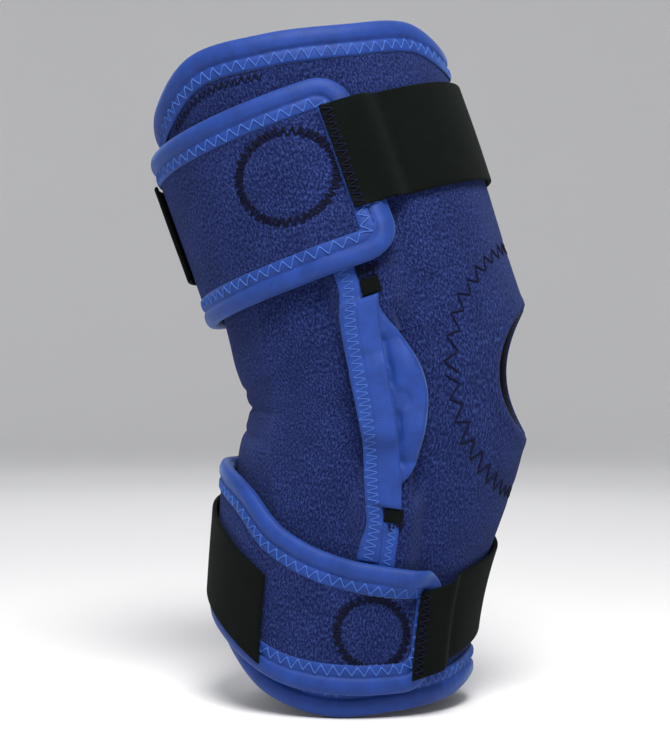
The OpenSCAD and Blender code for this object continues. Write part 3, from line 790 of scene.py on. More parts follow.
def make_sleeve(sizes):
    wall = sizes.wall / MM
    half_height = sizes.hole_height / MM / 2
    spread = math.degrees(sizes.hole_spread)
    share = (1 - np.cos(np.linspace(0, math.pi, BESIDE_ROWS))) / 2
    inside = np.sin(np.linspace(0, math.pi, BESIDE_ROWS))
    near_edge = np.array([0, 0.12, 0.4, 0.8, 1.3, 1.9, 2.6, 3.4])
    turns = np.concatenate([near_edge, np.linspace(4.5, 355.5, 262), (360 - near_edge)[::-1]])
    rows = []
    angles = []
    for turn in turns:
        side = min(turn, 360 - turn)
        decay = max(1 - side / 90, 0)
        low = HOLE_MID - half_height - 2 * float(ease(60, 160, side))
        high = HOLE_MID + half_height + 8 * float(ease(60, 160, side))
        top = float(both(TOP_RIM, turn)) - RIM_INSET
        bottom = float(both(BOTTOM_RIM, turn)) + RIM_INSET
        s = sleeve_rows(bottom, top, low, high, share)
        push = np.zeros(len(s))
        push[BELOW_ROWS - 1:BELOW_ROWS - 1 + BESIDE_ROWS] = spread * inside * decay
        rows.append(s)
        angles.append(turn + push if turn <= 180 else turn - push)
    s, th = np.array(rows), np.array(angles)
    around = np.hypot((s - HOLE_MID) / half_height, np.minimum(fold(th), 90) / spread)
    from_edge = np.maximum(around - 1, 0) * 19
    lip = rounding(from_edge, wall / 2)
    raise_edge = 0.55 * bump(from_edge - 2.6, 2.2)
    dent = stitch_dent(s, th)
    relief = seam(s, th, sizes.ridge / MM)
    outer = on_sleeve(s, th, relief + raise_edge - lip - dent)
    inner = on_sleeve(s, th, -wall + lip + relief * 0.3)
    uv = np.stack([th * MM_PER_DEG, s], -1)
    obj = shell("sleeve", outer, inner, uv, [FINISHES["sleeve"], FINISHES["lining"]], inner_slot=1)
    finish_piece(obj, None, ("thigh_sleeve", "knee_sleeve", "shin_sleeve"))
    return obj


def stitch_dent(s, th):
    """The sleeve is drawn in along the ring of stitches round the kneecap."""
    t = fold(th)
    ring = np.hypot((s - RING_MID) / RING_HALF[0], t / RING_HALF[1])
    return 0.5 * bump((ring - 1) * 38, 2.6)


def ring_path():
    a = np.radians(np.linspace(0, 360, 400))
    return np.stack([RING_HALF[1] * np.cos(a) * MM_PER_DEG, RING_MID + RING_HALF[0] * np.sin(a)], 1)


def on_ring(s, th, level):
    return on_sleeve(s, th, level - stitch_dent(s, th))


def make_kneecap_stitches():
    lines = zigzag(ring_path(), 6.6, 4.8, 0.02, sink=0.3, per=6, seed=3)
    sew("kneecap_stitches", lines, on_ring, THREAD_R["kneecap"], "dark_thread", None, ("patella_ring",))


# ---- Bindings -------------------------------------------------------------------------------------


# Points of a binding's outer face, and the first of them that lies on top of the cloth
OUTER_POINTS = 34
OUTER_TOP = 14
# How much wider the rims' rolled edge is than the wings'
RIM_BEAD_MORE = 0.7


def bead_profile(bead, flat, top, bottom, face):
    """Closed section of a binding: round the edge from inside, a rolled bead, a seam and a flat part.
    top is the cloth's face, bottom its inner face; face is how thick the tape is."""
    width = bead + flat
    outer = smooth_line(
        [
            (bead * 0.9, bottom - 0.1), (bead * 0.55, bottom - 0.55), (bead * 0.12, bottom - 0.25),
            (-0.35, bottom + (top - bottom) * 0.3), (-0.35, top - 0.3), (bead * 0.16, top + face * 1.25),
            (bead * 0.5, top + face * 1.95), (bead * 0.84, top + face * 1.4),
            (bead * 0.97, top + face * 0.35), (bead * 1.04, top + face * 0.15),
            (bead + flat * 0.24, top + face * 0.9),
            (bead + flat * 0.75, top + face * 0.95), (width - 0.25, top + face * 0.55), (width, top + 0.02),
        ],
        OUTER_POINTS,
    )
    inner = [(bead * 0.8, top + 0.06), (bead * 0.8, bottom + 0.3)]
    return np.concatenate([outer, inner])


def level_at(profile, inset):
    """Level of a binding's outer face at an inset."""
    upper = profile[OUTER_TOP:OUTER_POINTS]
    order = np.argsort(upper[:, 0])
    return float(np.interp(inset, upper[order, 0], upper[order, 1]))


def make_rim(name, rim, up, body, slot_node, sizes):
    bead, flat = sizes.bead / MM + RIM_BEAD_MORE, sizes.flat / MM
    profile = bead_profile(bead, flat, 0.1, -sizes.wall / MM, 0.75)
    angles = np.linspace(0, 360, 361)[:-1] * up
    path = np.stack([-angles * MM_PER_DEG, both(rim, angles)], 1)

    def place(s, th, level):
        pucker = 0.1 * np.sin(th * MM_PER_DEG / (sizes.stitch / MM) * 2 * math.pi)
        near = bump((s - both(rim, th)) * up + bead + 0.6, 1.6)
        return on_sleeve(s, th, level + pucker * near)

    obj = ribbon(name, path, profile, place, [FINISHES["binding"]], closed=True)
    finish_piece(obj, body, (slot_node,))
    inset = bead + flat * 0.5
    around = np.linspace(0, 360, 500)
    line = np.stack([around * MM_PER_DEG, both(rim, around) - up * inset], 1)
    stitches = zigzag(line, sizes.stitch / MM, 3.7, level_at(profile, inset) + 0.12, seed=int(up) + 5)
    sew(name + "_stitches", stitches, on_sleeve, sizes.thread / MM, "light_thread", body)


def wing_front(edge, d, half):
    """Angle at which a wing's free end begins, off from its middle by d of its half width."""
    inside = np.maximum(np.abs(d) - half + CORNER_R, 0) / CORNER_R
    return edge + CORNER_R / MM_PER_DEG * (1 - np.sqrt(np.maximum(1 - inside**2, 0)))


def end_shares(width):
    a = np.radians(np.arange(0, 90, 6))
    start = CORNER_R / width * (1 - np.cos(a))
    middle = np.linspace(CORNER_R / width, 1 - CORNER_R / width, 16)
    return np.concatenate([start, middle, (1 - start)[::-1]])


def upper_edges(th):
    return np.full(np.shape(th), float(UPPER_WING["low"])), np.full(np.shape(th), float(UPPER_WING["high"]))


def lower_edges(th):
    return curve(LOWER_WING_BOTTOM, th), curve(LOWER_WING_TOP, th)


def wing_outline(edges, front, root):
    """A wing's free outline as a flat path: top edge from the root, round the front end, bottom edge back."""
    low, high = edges(front)
    width = float(high - low)
    t = end_shares(width)
    th = wing_front(front, (0.5 - t) * width, width / 2)
    low, high = edges(th)
    end = np.stack([th * MM_PER_DEG, high - (high - low) * t], 1)
    top_th = np.linspace(root, th[0] + 1.2, 110)
    bottom_th = np.linspace(th[-1] + 1.2, root, 110)
    top = np.stack([top_th * MM_PER_DEG, edges(top_th)[1]], 1)
    bottom = np.stack([bottom_th * MM_PER_DEG, edges(bottom_th)[0]], 1)
    return np.concatenate([top, end, bottom])


def on_wing(s, th, off):
    """A point over a wing's base, which lies on the sleeve and bridges the pocket."""
    return leg(s, th, WING_BASE + bridge(s, th) + off)


def settle(th, root):
    """How far a wing has come down onto the sleeve towards its sewn rear end."""
    return (WING_BASE - 0.4) * ease(root - 14, root, th)


def make_wing(name, outline, edges, sizes, replaced):
    front, root = outline["front"], outline["root"]
    circle, circle_r = outline["circle"], outline["circle_r"]
    wing = sizes.wing_wall / MM
    inset = WING_INSET
    low, high = edges(front)
    width = float(high - low)
    t = spaced(1.0, 0.028)
    rows = []
    for share in t:
        start = float(wing_front(front + inset / MM_PER_DEG, (share - 0.5) * width, width / 2))
        rows.append(start + (root - start) * np.linspace(0, 1, 120))
    th = np.array(rows).T
    low, high = edges(th)
    s = low + inset + (high - low - 2 * inset) * t[None, :]
    ring = np.hypot((th - circle[1]) * MM_PER_DEG, s - circle[0])
    puffy = 0.35 * bump((s - (low + high) / 2) / (high - low) * 2, 0.8)
    dent = 0.55 * bump(ring - circle_r, 1.7) - 0.3 * (1 - ease(0, circle_r, ring))
    down = settle(th, root)
    outer = on_wing(s, th, wing + puffy - dent - down - 1.2 * ease(root - 4, root, th))
    inner = on_wing(s, th, 0.1 - down)
    uv = np.stack([th * MM_PER_DEG, s], -1)
    obj = shell(name, outer, inner, uv, [FINISHES["sleeve"], FINISHES["lining"]], inner_slot=1)
    finish_piece(obj, None, (replaced,))

    def place(s, th, level):
        return on_wing(s, th, level - settle(th, root))

    profile = bead_profile(sizes.bead / MM, sizes.flat / MM - 0.4, wing + 0.05, -0.1, 0.62)
    path = wing_outline(edges, front, root)
    bound = ribbon(name + "_binding_tape", path, profile, place, [FINISHES["binding"]])
    finish_piece(bound, None, (replaced + "_binding",))
    centre = sizes.bead / MM + (sizes.flat / MM - 0.4) * 0.5
    points, side = along_path(path, 1.0)
    line = points + side * centre
    stitches = zigzag(line, sizes.stitch / MM, 3.4, level_at(profile, centre) + 0.12, seed=11)
    sew(name + "_stitches", stitches, place, sizes.thread / MM, "light_thread", None)

    around = np.radians(np.linspace(0, 360, 240))
    circle_path = np.stack(
        [circle[1] * MM_PER_DEG + circle_r * np.cos(around), circle[0] + circle_r * np.sin(around)], 1
    )
    ring_level = wing - 0.35
    ring_lines = zigzag(circle_path, 2.5, 4.6, ring_level + 0.45, sink=0.5, seed=7)
    ring_lines += zigzag(circle_path, 3.0, 3.4, ring_level + 0.4, sink=0.5, seed=9)
    sew(name + "_circle_stitches", ring_lines, on_wing, THREAD_R["circle"], "dark_thread", None)
    low, high = edges(np.array([root - 3.0]))
    rear_arc = (root - 3.0) * MM_PER_DEG
    rear = [(rear_arc, float(low[0]) + 6), (rear_arc, float(high[0]) - 6)]
    rear_lines = zigzag(rear, 3.4, 3.6, wing - 0.8, sink=0.5, seed=13)
    sew(name + "_rear_stitches", rear_lines, place, THREAD_R["row"], "dark_thread", None)


def make_hook_patch(name, s0, th0, radius, body, replaced):
    """Round hook patch under a wing: a thin disc with an eased rim."""
    a = np.radians(np.linspace(0, 360, 65))[:-1]
    reach = radius * np.array([0.02, 0.3, 0.6, 0.85, 0.95, 0.985, 1.0])
    s = s0 + np.sin(a)[:, None] * reach
    th = th0 + np.cos(a)[:, None] * reach / MM_PER_DEG
    fall = rounding(radius - reach, 0.7)[None, :]
    outer = leg(s, th, 2.0 - fall)
    inner = leg(s, th, 0.5)
    uv = np.stack([th * MM_PER_DEG, s], -1)
    obj = shell(name + "_disc", outer, inner, uv, [FINISHES["hook"]], closed=True)
    return finish_piece(obj, body, (replaced,))


# ---- Hinge covers, channels and edge tape ---------------------------------------------------------

COVER_FRONT = [
    (-33, 77.5), (-29.5, 74.8), (-26.5, 72.8), (-22, 71.2), (-14, 70.6), (-3, 70.7), (4, 71.4), (10, 73.1),
    (15, 75.2), (20, 77.4), (24, 79.2), (28, 80.6), (34, 81.5),
]
COVER_REAR = [(-33, 83), (-14, 89), (0, 93.5), (16, 94.5), (34, 90)]
FAR_COVER_REAR = [(-33, 87), (-14, 97), (0, 101), (16, 101), (34, 94)]
STRIP_FRONT = [
    (-36.8, 72.2), (-28.2, 74.4), (-21.8, 76.8), (-15, 79.6), (-5.2, 82.2), (2, 83.8), (11.5, 84.3),
    (22.2, 83.4), (29.2, 81.8), (34, 80.6),
]
TAPE_REAR = [
    (-60, 84.2), (-51.8, 84), (-43.5, 83.2), (-36.5, 85.2), (-26.5, 88), (-12.5, 92.4), (-1, 95.6),
    (14.5, 97.2), (29, 95.6), (38.5, 93.6), (48, 93.8),
]
TAPE_FRONT = [
    (-60, 74.8), (-43.2, 76.8), (-35.5, 79), (-25.8, 82), (-15.5, 85.4), (-1.5, 88.8), (12.8, 89.8),
    (26.8, 88.4), (36.8, 86.2), (48, 86),
]


# Thickness of the cloth of the covers, the edge tape, the strip beside it, the short strip sewn
# below it, and the black patches
COVER_WALL = 0.75
TAPE_WALL = 0.95
STRIP_WALL = 1.25
SEWN_WALL = 0.6
PATCH_WALL = 0.9


def channel_level(s, th):
    """Height of the cloth over an arm, falling off to the sleeve on both sides."""
    return pocket(s, th, 1.6, 12) + 1.25


def fade(d, width):
    """Rise of a cloth's face over a width from its edge, as a quarter round."""
    return np.sqrt(np.maximum(1 - (1 - np.clip(d / width, 0, 1)) ** 2, 0))


def make_channel(name, low, high, sign, replaced):
    """Soft pocket over an arm, in the sleeve's own cloth, easing down to the sleeve at its sides."""
    s = spaced(high - low, 0.9) + low
    across = np.linspace(-18, 13, 70)
    th = arm_mid(s)[:, None] + across / MM_PER_DEG
    s2 = np.repeat(s[:, None], th.shape[1], 1)
    inner_end = s2 - low if low > 0 else high - s2
    rise = ease(0, 12, 18 + across)[None, :] * ease(0, 6, 13 - across)[None, :] * ease(0, 12, inner_end)
    level = channel_level(s2, th)
    outer = leg(s2, sign * th, np.maximum(level * rise, pocket(s2, th, 1, 4) + 0.9 * rise) + 0.02)
    inner = leg(s2, sign * th, np.maximum(level - 1.2, 0) * rise - 0.3)
    steps = np.linalg.norm(np.diff(outer, axis=1), axis=2) / MM
    along = np.concatenate([np.zeros((len(s), 1)), np.cumsum(steps, 1)], 1)
    uv = np.stack([sign * along, s2], -1)
    obj = shell(name + "_pocket", outer, inner, uv, [FINISHES["sleeve"]])
    finish_piece(obj, "cover", (replaced,))


def hinge_face(s, th):
    """Height over the sleeve of the outermost hard face of the hinge, and nothing beside it."""
    p = leg(s, fold(th), 0) / MM
    middle = np.hypot(p[..., 0], p[..., 2])
    discs = HEAD_FACE - 0.6 * ease(3.5, 6, middle) + p[..., 1]
    return np.maximum(discs, 0) * (1 - ease(HEAD_R + 0.5, HEAD_R + 3, middle))


def over_hinge(s, th):
    """Height over the sleeve of cloth drawn flat across the hinge's discs and down onto both arms."""
    p = leg(s, fold(th), 0) / MM
    middle = np.hypot(p[..., 0], p[..., 2])
    reach = np.maximum(middle - ARM_START, 0)
    upper = UPPER_FACE - reach * math.sin(math.radians(UPPER_TUCK))
    lower = LOWER_FACE - reach * math.sin(math.radians(LOWER_TUCK))
    arms = lower + (upper - lower) * ease(-14, 8, p[..., 2])
    discs = HEAD_FACE - 0.7 * ease(3, 9, middle)
    taut = arms + (discs - arms) * (1 - ease(HEAD_R + 1, HEAD_R + 15, middle))
    return np.maximum(taut + p[..., 1], 0) + 0.3


def cover_level(s, th, rear_line=COVER_REAR):
    """Height of a hinge cover over the sleeve: a taut dome over the hinge and the ends of both arms."""
    front, rear = curve(COVER_FRONT, s), curve(rear_line, s)
    wall = fade((th - front) * MM_PER_DEG, 2.2) * fade((rear - th) * MM_PER_DEG, 4)
    wall = wall * (0.25 + 0.75 * fade(np.minimum(s + 33, 34 - s), 5))
    under = (channel_level(s, th) + 0.1) * fade((th - front) * MM_PER_DEG, 0.8)
    return np.maximum(under * (ease(6, 22, s) + ease(8, 24, -s)), over_hinge(s, th) * wall)


def make_cover(side):
    near = side == "near"
    sign = 1 if near else -1
    s = spaced(67.0, 0.8, 1.5) - 33.0
    share = np.concatenate([np.linspace(0, 0.2, 20)[:-1], np.linspace(0.2, 1, 52)])
    rear_line = COVER_REAR if near else FAR_COVER_REAR
    front, rear = curve(COVER_FRONT, s)[:, None], curve(rear_line, s)[:, None]
    th = front + (rear - front) * share
    s = np.repeat(s[:, None], th.shape[1], 1)
    level = cover_level(s, th, rear_line)
    if near:
        gap = (th - curve(STRIP_FRONT, s)) * MM_PER_DEG
        level = level + 1.4 * bump(s - 9, 7) * bump(gap + 5.5, 4) + 1.0 * bump(s + 12, 8) * bump(gap + 5, 4)
        level = level - 1.6 * bump(s + 1.0, 2.4) * bump(gap + 3.2, 2.4)
        level = level - 0.8 * bump(gap + 0.6, 1.3) * ease(-34, -22, s) * (1 - ease(22, 34, s))
        under = (channel_level(s, th) + 0.1) * (ease(12, 22, s) + ease(14, 24, -s))
        level = np.maximum(level, np.maximum(under, hinge_face(s, th)) * fade((th - front) * MM_PER_DEG, 1.6))
    outer = leg(s, sign * th, level + COVER_WALL)
    inner = leg(s, sign * th, np.maximum(level - 0.05, 0.05))
    uv = np.stack([s, th * MM_PER_DEG], -1)
    obj = shell(side + "_cover_dome", outer, inner, uv, [FINISHES["cover"]])
    finish_piece(obj, "cover", (side + "_hinge_cover",))
    if not near:
        rows = np.linspace(-29, 30, 60)
        outline = np.concatenate([
            np.stack([curve(COVER_FRONT, rows) + 4.6, rows], 1),
            np.stack([curve(FAR_COVER_REAR, rows[::-1]) - 4.6, rows[::-1]], 1),
        ])
        outline = outline[np.abs(outline[:, 1]) < 26]
        outline = np.concatenate([outline, outline[:1]])
        outline[:, 0] *= -MM_PER_DEG

        def place(s, th, level):
            return leg(s, th, cover_level(s, fold(th), FAR_COVER_REAR) + COVER_WALL + 0.03 + level)

        lines = zigzag(outline, 2.8, 2.6, 0.05, seed=21)
        sew("far_cover_stitches", lines, place, THREAD_R["cover"], "light_thread", "cover")


def strip_level(s, th):
    """Height under the smooth strip between the edge tape and the dome, which it overlaps."""
    ends = 0.25 + 0.75 * fade(np.minimum(s + 33, 34 - s), 5)
    return np.maximum(over_hinge(s, th) * ends, channel_level(s, th) + 0.1) + 0.8


def tape_level(s, th):
    over_strip = strip_level(s, th) * (ease(-37.5, -35.5, s) - ease(34, 36, s))
    return np.maximum(over_strip, channel_level(s, th)) + 0.15


def make_band(name, low, high, rear, front, level, wall, finish, lip, replaced=()):
    """A flat band of cloth up the hinge pocket between two lines, with rounded edges."""
    s = spaced(high - low, 0.8, 0.7) + low
    rear, front = rear(s), front(s)
    share = spaced(1.0, 0.04, 0.1)
    th = rear[:, None] + (front - rear)[:, None] * share
    s2 = np.repeat(s[:, None], th.shape[1], 1)
    edge = np.minimum((rear[:, None] - th) * MM_PER_DEG, (th - front[:, None]) * MM_PER_DEG)
    ends = np.minimum(s2 - low, high - s2)
    fall = np.minimum(rounding(edge, lip) + rounding(ends, lip), lip)
    base = level(s2, th)
    outer = leg(s2, th, base + wall - fall)
    inner = leg(s2, th, base - 0.15)
    uv = np.stack([s2, th * MM_PER_DEG], -1)
    obj = shell(name, outer, inner, uv, [FINISHES[finish]])
    finish_piece(obj, "cover", replaced)
    return obj


def make_edge_tape():
    def tape_rear(s):
        return curve(TAPE_REAR, s)

    def tape_front(s):
        return curve(TAPE_FRONT, s)

    def strip_rear(s):
        return curve(TAPE_FRONT, s) + 2

    def strip_front(s):
        return curve(STRIP_FRONT, s)

    def sewn_rear(s):
        return np.full(np.shape(s), 77.5)

    def sewn_front(s):
        return curve([(-60, 69.2), (-49.8, 70.4), (-42, 71.2)], s)

    obj = make_band(
        "edge_binding", -57, 47, tape_rear, tape_front, tape_level, TAPE_WALL, "binding",
        0.8, ("edge_tape",),
    )
    obj = make_band(
        "near_cover_strip", -36.8, 34.2, strip_rear, strip_front, strip_level, STRIP_WALL, "cover",
        1.1,
    )
    obj = make_band(
        "near_sewn_strip", -58, -41.8, sewn_rear, sewn_front, channel_level, SEWN_WALL, "cover",
        0.5,
    )
    rows = np.linspace(-56, 46, 160)
    middle = (tape_rear(rows) * 0.52 + tape_front(rows) * 0.48) * MM_PER_DEG

    def on_tape(s, th, level):
        return leg(s, th, tape_level(s, th) + TAPE_WALL + level)

    lines = zigzag(np.stack([middle, rows], 1), 2.6, 4.2, 0.05, seed=31)
    sew("edge_binding_stitches", lines, on_tape, THREAD_R["cover"], "light_thread", "cover")

    def on_strip(s, th, level):
        return leg(s, th, channel_level(s, th) + SEWN_WALL + level)

    rows = np.linspace(-57, -42.5, 40)
    middle = (sewn_front(rows) * 0.62 + sewn_rear(rows) * 0.38) * MM_PER_DEG
    lines = zigzag(np.stack([middle, rows], 1), 2.4, 2.8, 0.05, seed=33)
    sew("near_sewn_strip_stitches", lines, on_strip, THREAD_R["cover"], "light_thread", "cover")


def frayed(name, s, th, half, count, level, finish, body, seed, turn=90, place=None):
    """Loose, crossed ends of sewing thread around a place."""
    rng = np.random.default_rng(seed)
    lines = []
    for _ in range(count):
        middle = np.array([th * MM_PER_DEG, s]) + rng.uniform(-1, 1, 2) * half
        angle = math.radians(turn + rng.normal(0, 28))
        reach = rng.uniform(0.9, 2.1)
        t = np.linspace(-1, 1, 6)
        bow = rng.normal(0, 0.35) * (1 - t * t)
        x = middle[0] + reach * t * math.cos(angle) - bow * math.sin(angle)
        y = middle[1] + reach * t * math.sin(angle) + bow * math.cos(angle)
        lines.append(np.column_stack([x, y, level + 0.35 * (1 - t**4) - 0.25]))
    sew(name, lines, place or on_channel, THREAD_R["loose"], finish, body)


def on_channel(s, th, level):
    return leg(s, th, channel_level(s, fold(th)) + level)


def make_pocket_tabs(name, s0, th0, half, replaced):
    """Small black reinforcements on both sides, at the ends of the hinge covers."""
    share = spaced(1.0, 0.09, 0.12)
    grid_s, grid_t = np.meshgrid(share, share, indexing="ij")
    s = s0 + (2 * grid_s - 1) * half[1]
    th = th0 + (2 * grid_t - 1) * half[0] / MM_PER_DEG
    edge = np.minimum(np.minimum(grid_s, 1 - grid_s), np.minimum(grid_t, 1 - grid_t)) * 2 * min(half)
    fall = rounding(edge, 0.6)
    level = channel_level(s, th) + 0.35
    for sign, side in ((1, "near"), (-1, "far")):
        outer = leg(s, sign * th, level + PATCH_WALL - fall)
        inner = leg(s, sign * th, level - 0.4)
        uv = np.stack([th * MM_PER_DEG, s], -1)
        obj = shell(f"{side}_{name}", outer, inner, uv, [FINISHES["strap"]])
        finish_piece(obj, "cover", (replaced,) if sign > 0 else ())


# ---- Straps ---------------------------------------------------------------------------------------

# Height of a strap's underside over the sleeve where it lies on a wing
WING_TOP = WING_BASE + 3 + 0.7 + 0.6
# Radius of the straps' edges
STRAP_LIP = 0.75


def strap_level(s, th, over_wing):
    lift = bridge(s, th)
    return lift + np.minimum(0.9 + lift, 1.8) * (1 - over_wing) + WING_TOP * over_wing


def make_strap(name, strap, start, end, ramps, body, sizes, replaced):
    """A flat strap between two angles, over the sleeve and, where the ramps say, over a wing. Its far
    end is rounded, and its start is cut square, where the other piece of the same strap goes on."""
    wall = sizes.strap_wall / MM
    width, length = strap["width"], abs(end - start) * MM_PER_DEG
    d = spaced(length, 1.2, 0.8)
    across = spaced(width, 1.3, 0.8)
    th = start + (end - start) * d / length
    middle = curve(strap["mid"], th)
    s = middle[:, None] + across[None, :] - width / 2
    th2 = np.repeat(th[:, None], len(across), 1)
    over = ramps(th2)
    side_fall = rounding(np.minimum(across, width - across), STRAP_LIP)[None, :]
    fall = np.minimum(side_fall + rounding(length - d, STRAP_LIP)[:, None], STRAP_LIP)
    cup = 0.25 * bump((across - width / 2) / width * 2, 0.9)[None, :]
    level = strap_level(s, th2, over) + cup
    outer = leg(s, th2, level + wall - fall)
    inner = leg(s, th2, level + fall * 0.6)
    uv = np.stack([np.repeat(d[:, None], len(across), 1), np.repeat(across[None, :], len(d), 0)], -1)
    obj = shell(name, outer, inner, uv, [FINISHES["strap"]])
    if body in ("upper_tab", "lower_tab"):
        tip = Vector(leg(float(curve(strap["mid"], end)), end, WING_TOP).tolist())
        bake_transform(obj)
    else:
        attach(obj, body)
    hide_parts(replaced)
    return obj


# ---- Operators ------------------------------------------------------------------------------------


class KNEE_OT_finishes(bpy.types.Operator):
    """Make every finish, and give the stays and their fasteners theirs"""

    bl_idname = "knee.finishes"
    bl_label = "Make the Finishes"

    def execute(self, context):
        make_finishes(context.scene.knee_colours)
        hard = {
            "upper_arm": "arm", "lower_arm": "arm", "hinge_cap": "cap", "hinge_base": "cap",
            "rivet": "rivet", "stop_pin": "rivet", "washer": "washer",
        }
        for side in ("near_", "far_"):
            for piece, finish in hard.items():
                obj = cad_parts[side + piece]
                obj.data.materials.clear()
                obj.data.materials.append(FINISHES[finish])
        return {"FINISHED"}


class KNEE_OT_sleeve(bpy.types.Operator):
    """Make the neoprene sleeve with its lining, kneecap opening and ring of stitches"""

    bl_idname = "knee.sleeve"
    bl_label = "Make the Sleeve"

    def execute(self, context):
        make_sleeve(context.scene.knee_sizes)
        make_kneecap_stitches()
        return {"FINISHED"}


class KNEE_OT_rims(bpy.types.Operator):
    """Make the rolled bindings of both rims"""

    bl_idname = "knee.rims"
    bl_label = "Make the Rims"

    def execute(self, context):
        sizes = context.scene.knee_sizes
        make_rim("top_rim_binding", TOP_RIM, 1, "thigh", "top_binding", sizes)
        make_rim("bottom_rim_binding", BOTTOM_RIM, -1, "shin", "bottom_binding", sizes)
        angles = np.linspace(95, 142, 60)
        row = np.stack([angles * MM_PER_DEG, both(TOP_RIM, angles) - 14.4], 1)
        lines = zigzag(row, 2.4, 2.8, 0.1, seed=61)
        sew("top_rim_dark_stitches", lines, on_sleeve, THREAD_R["row"], "dark_thread", "thigh")
        return {"FINISHED"}


class KNEE_OT_hinges(bpy.types.Operator):
    """Make the hinge covers, the channels over the arms, the edge tape and the black reinforcements"""

    bl_idname = "knee.hinges"
    bl_label = "Make the Hinge Pockets"

    def execute(self, context):
        for side, sign in (("near", 1), ("far", -1)):
            make_channel(side + "_upper", 20, 66, sign, side + "_upper_channel")
            make_channel(side + "_lower", -68, -24, sign, side + "_lower_channel")
            make_cover(side)
        make_edge_tape()
        make_pocket_tabs("upper_reinforcement", 37.4, 82.4, (2.9, 2.8), "upper_pocket_tabs")
        make_pocket_tabs("lower_reinforcement", -39.4, 74.2, (2.9, 2.4), "lower_pocket_tabs")
        for side, sign in (("near_", 1), ("far_", -1)):
            frayed(side + "upper_fraying", 43, sign * 82, (3.2, 2.2), 26, 0.3, "dark_thread", "cover", 41)
            frayed(side + "lower_fraying", -42, sign * 73.4, (2.6, 1.2), 12, 0.9, "dark_thread", "cover", 43)
        return {"FINISHED"}


class KNEE_OT_wings(bpy.types.Operator):
    """Make both closing wings with their bindings, circles of stitches and hook patches"""

    bl_idname = "knee.wings"
    bl_label = "Make the Wings"

    def execute(self, context):
        sizes = context.scene.knee_sizes
        make_wing("upper_closing_wing", UPPER_WING, upper_edges, sizes, "upper_wing")
        make_wing("lower_closing_wing", LOWER_WING, lower_edges, sizes, "lower_wing")
        s, th = UPPER_WING["circle"]
        make_hook_patch("upper_hook", s, th, UPPER_WING["circle_r"], "thigh", "upper_hook_patch")
        make_hook_patch("lower_hook", -84, 104, 13, "shin", "lower_hook_patch")
        return {"FINISHED"}


def make_strap_stitches(name, strap, body, ramps, sizes):
    """Dark stitches that sew a strap's front end down."""
    th = strap["front"] - 2.2
    middle = float(curve(strap["mid"], th))
    half = strap["width"] / 2 - 1.2
    path = [(th * MM_PER_DEG, middle - half), (th * MM_PER_DEG, middle + half)]

    def place(s, th, level):
        return leg(s, th, strap_level(s, th, ramps(th)) + sizes.strap_wall / MM + 0.25 + level)

    lines = zigzag(path, 2.6, 3.2, 0.15, sink=0.4, seed=51)
    sew(name, lines, place, THREAD_R["strap"], "dark_thread", body)


class KNEE_OT_straps(bpy.types.Operator):
    """Make both straps, and the free ends that fasten back on the wings"""

    bl_idname = "knee.straps"
    bl_label = "Make the Straps"

    def execute(self, context):
        sizes = context.scene.knee_sizes
        upper, lower = UPPER_STRAP, LOWER_STRAP

        def upper_ramps(th):
            return ease(57, 67, th) + ease(134, 144, -th)

        def lower_ramps(th):
            return ease(34, 44, th) + ease(158, 168, -th)

        rows = (("upper", "thigh", upper, upper_ramps), ("lower", "shin", lower, lower_ramps))
        for name, body, strap, ramps in rows:
            cut, tip = strap["tab"] + 4 - 360, strap["tip"] - 360
            band, tab = name + "_strap", name + "_tab"
            make_strap(band + "_band", strap, cut, strap["front"], ramps, body, sizes, band)
            make_strap(band + "_end", strap, cut, tip, ramps, tab, sizes, tab)
        make_strap_stitches("upper_strap_stitches", upper, "thigh", upper_ramps, sizes)
        make_strap_stitches("lower_strap_stitches", lower, "shin", lower_ramps, sizes)
        frayed(
            "upper_strap_fraying", 64.5, 76, (3.5, 0.8), 16, 7.2, "light_thread", "thigh", 53,
            turn=20, place=leg,
        )
        return {"FINISHED"}


class KNEE_OT_stage(bpy.types.Operator):
    """Make the floor, the lights and the camera"""

    bl_idname = "knee.stage"
    bl_label = "Set the Stage"

    def execute(self, context):
        scene, stage = context.scene, context.scene.knee_stage
        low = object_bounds()[0][2]
        make_floor(low)
        aim = Vector((-0.0265, -0.0037, 0.0084))
        make_light("key", (0.12, -0.6, 0.78), aim + Vector((0, 0, 0.05)), 0.45, stage.key, (1, 0.985, 0.96))
        make_light("fill", (-1.0, -0.6, 0.7), aim, 1.0, stage.fill, (0.95, 0.97, 1))
        make_light("rim", (-0.3, 1.1, 0.9), aim, 0.9, stage.rim, (1, 1, 1))
        world = bpy.data.worlds.new("studio")
        world.use_nodes = True
        world.node_tree.nodes["Background"].inputs["Color"].default_value = (0.93, 0.94, 0.96, 1)
        world.node_tree.nodes["Background"].inputs["Strength"].default_value = 0.55
        scene.world = world
        scene.view_settings.view_transform = "Standard"
        data = bpy.data.cameras.new("camera")
        data.sensor_fit = "VERTICAL"
        data.angle = stage.view
        data.clip_start, data.clip_end = 0.01, 20
        camera = bpy.data.objects.new("camera", data)
        towards = Vector((math.sin(stage.azimuth), -math.cos(stage.azimuth), 0))
        camera.location = aim + towards * stage.distance
        camera.rotation_euler = towards.to_track_quat("Z", "Y").to_euler()
        scene.collection.objects.link(camera)
        scene.camera = camera
        return {"FINISHED"}


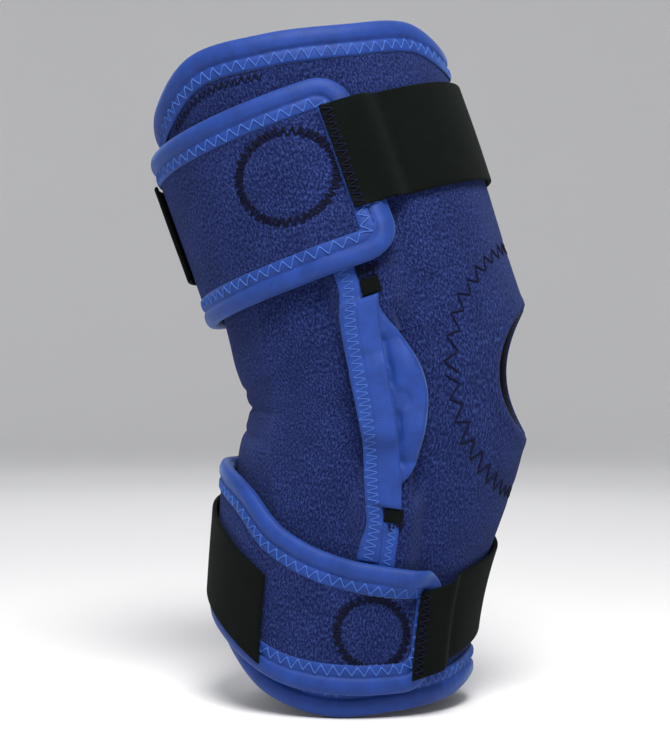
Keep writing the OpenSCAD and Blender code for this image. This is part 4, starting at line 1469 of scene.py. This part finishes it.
def make_floor(low):
    """A pale floor that curves up into a round wall far away."""
    stand = low - 0.0004
    profile = smooth_line([(2.9, 2.6), (2.85, 1.1), (2.6, 0.4), (2.1, 0.06), (1.4, 0)], 30)
    finish = Nodes("pale_floor")
    tone = finish.noise(finish.place("Object", (1.5, 1.5, 1.5)), 1.0, 2, 0.5)
    pale = finish.ramp(tone, [(0.3, (0.8, 0.8, 0.81)), (0.7, (0.82, 0.82, 0.83))])
    finish.paint(pale)
    finish.set(roughness=0.9, specular=0.05)
    deselect()
    bpy.ops.mesh.primitive_circle_add(
        vertices=96, radius=profile[0, 0], fill_type="NOTHING", location=(0, 0, stand + profile[0, 1])
    )
    floor = bpy.context.active_object
    floor.name = "floor"
    bpy.ops.object.transform_apply(location=True, rotation=True, scale=True)
    bpy.ops.object.mode_set(mode="EDIT")
    bpy.ops.mesh.select_all(action="SELECT")
    for (wide, high), (narrow, lower) in zip(profile[:-1], profile[1:]):
        bpy.ops.mesh.extrude_region_move(TRANSFORM_OT_translate={"value": (0, 0, lower - high)})
        bpy.ops.transform.resize(value=(narrow / wide, narrow / wide, 1), center_override=(0, 0, 0))
    bpy.ops.mesh.edge_face_add()
    bpy.ops.mesh.select_all(action="SELECT")
    bpy.ops.mesh.normals_make_consistent(inside=True)
    bpy.ops.object.mode_set(mode="OBJECT")
    bpy.ops.object.shade_smooth()
    floor.data.materials.append(finish.material)
    floor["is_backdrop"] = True


def make_light(name, place, aim, size, power, colour):
    data = bpy.data.lights.new(name, "AREA")
    data.shape = "DISK"
    data.size = size
    data.energy = power
    data.color = colour
    light = bpy.data.objects.new(name, data)
    light.location = place
    light.rotation_euler = (Vector(place) - aim).to_track_quat("Z", "Y").to_euler()
    light.visible_camera = False
    bpy.context.scene.collection.objects.link(light)


class KNEE_PT_panel(bpy.types.Panel):
    """Panel with every step of the knee support"""

    bl_label = "Knee Support"
    bl_idname = "KNEE_PT_panel"
    bl_space_type = "VIEW_3D"
    bl_region_type = "UI"
    bl_category = "Knee Support"

    def draw(self, context):
        for group in (context.scene.knee_sizes, context.scene.knee_colours, context.scene.knee_stage):
            for name in group.bl_rna.properties.keys():
                if name not in ("rna_type", "name"):
                    self.layout.prop(group, name)
        for step in STEPS:
            self.layout.operator(step.bl_idname)


STEPS = (
    KNEE_OT_finishes, KNEE_OT_sleeve, KNEE_OT_rims, KNEE_OT_hinges,
    KNEE_OT_wings, KNEE_OT_straps, KNEE_OT_stage,
)
CLASSES = (KneeSizes, KneeColours, KneeStage, *STEPS, KNEE_PT_panel)


def register():
    for cls in CLASSES:
        bpy.utils.register_class(cls)
    bpy.types.Scene.knee_sizes = PointerProperty(type=KneeSizes)
    bpy.types.Scene.knee_colours = PointerProperty(type=KneeColours)
    bpy.types.Scene.knee_stage = PointerProperty(type=KneeStage)


def unregister():
    del bpy.types.Scene.knee_stage
    del bpy.types.Scene.knee_colours
    del bpy.types.Scene.knee_sizes
    for cls in reversed(CLASSES):
        bpy.utils.unregister_class(cls)


def main():
    register()
    bpy.ops.knee.finishes()
    bpy.ops.knee.sleeve()
    bpy.ops.knee.rims()
    bpy.ops.knee.hinges()
    bpy.ops.knee.wings()
    bpy.ops.knee.straps()
    bpy.ops.knee.stage()


if __name__ == "__main__":
    main()
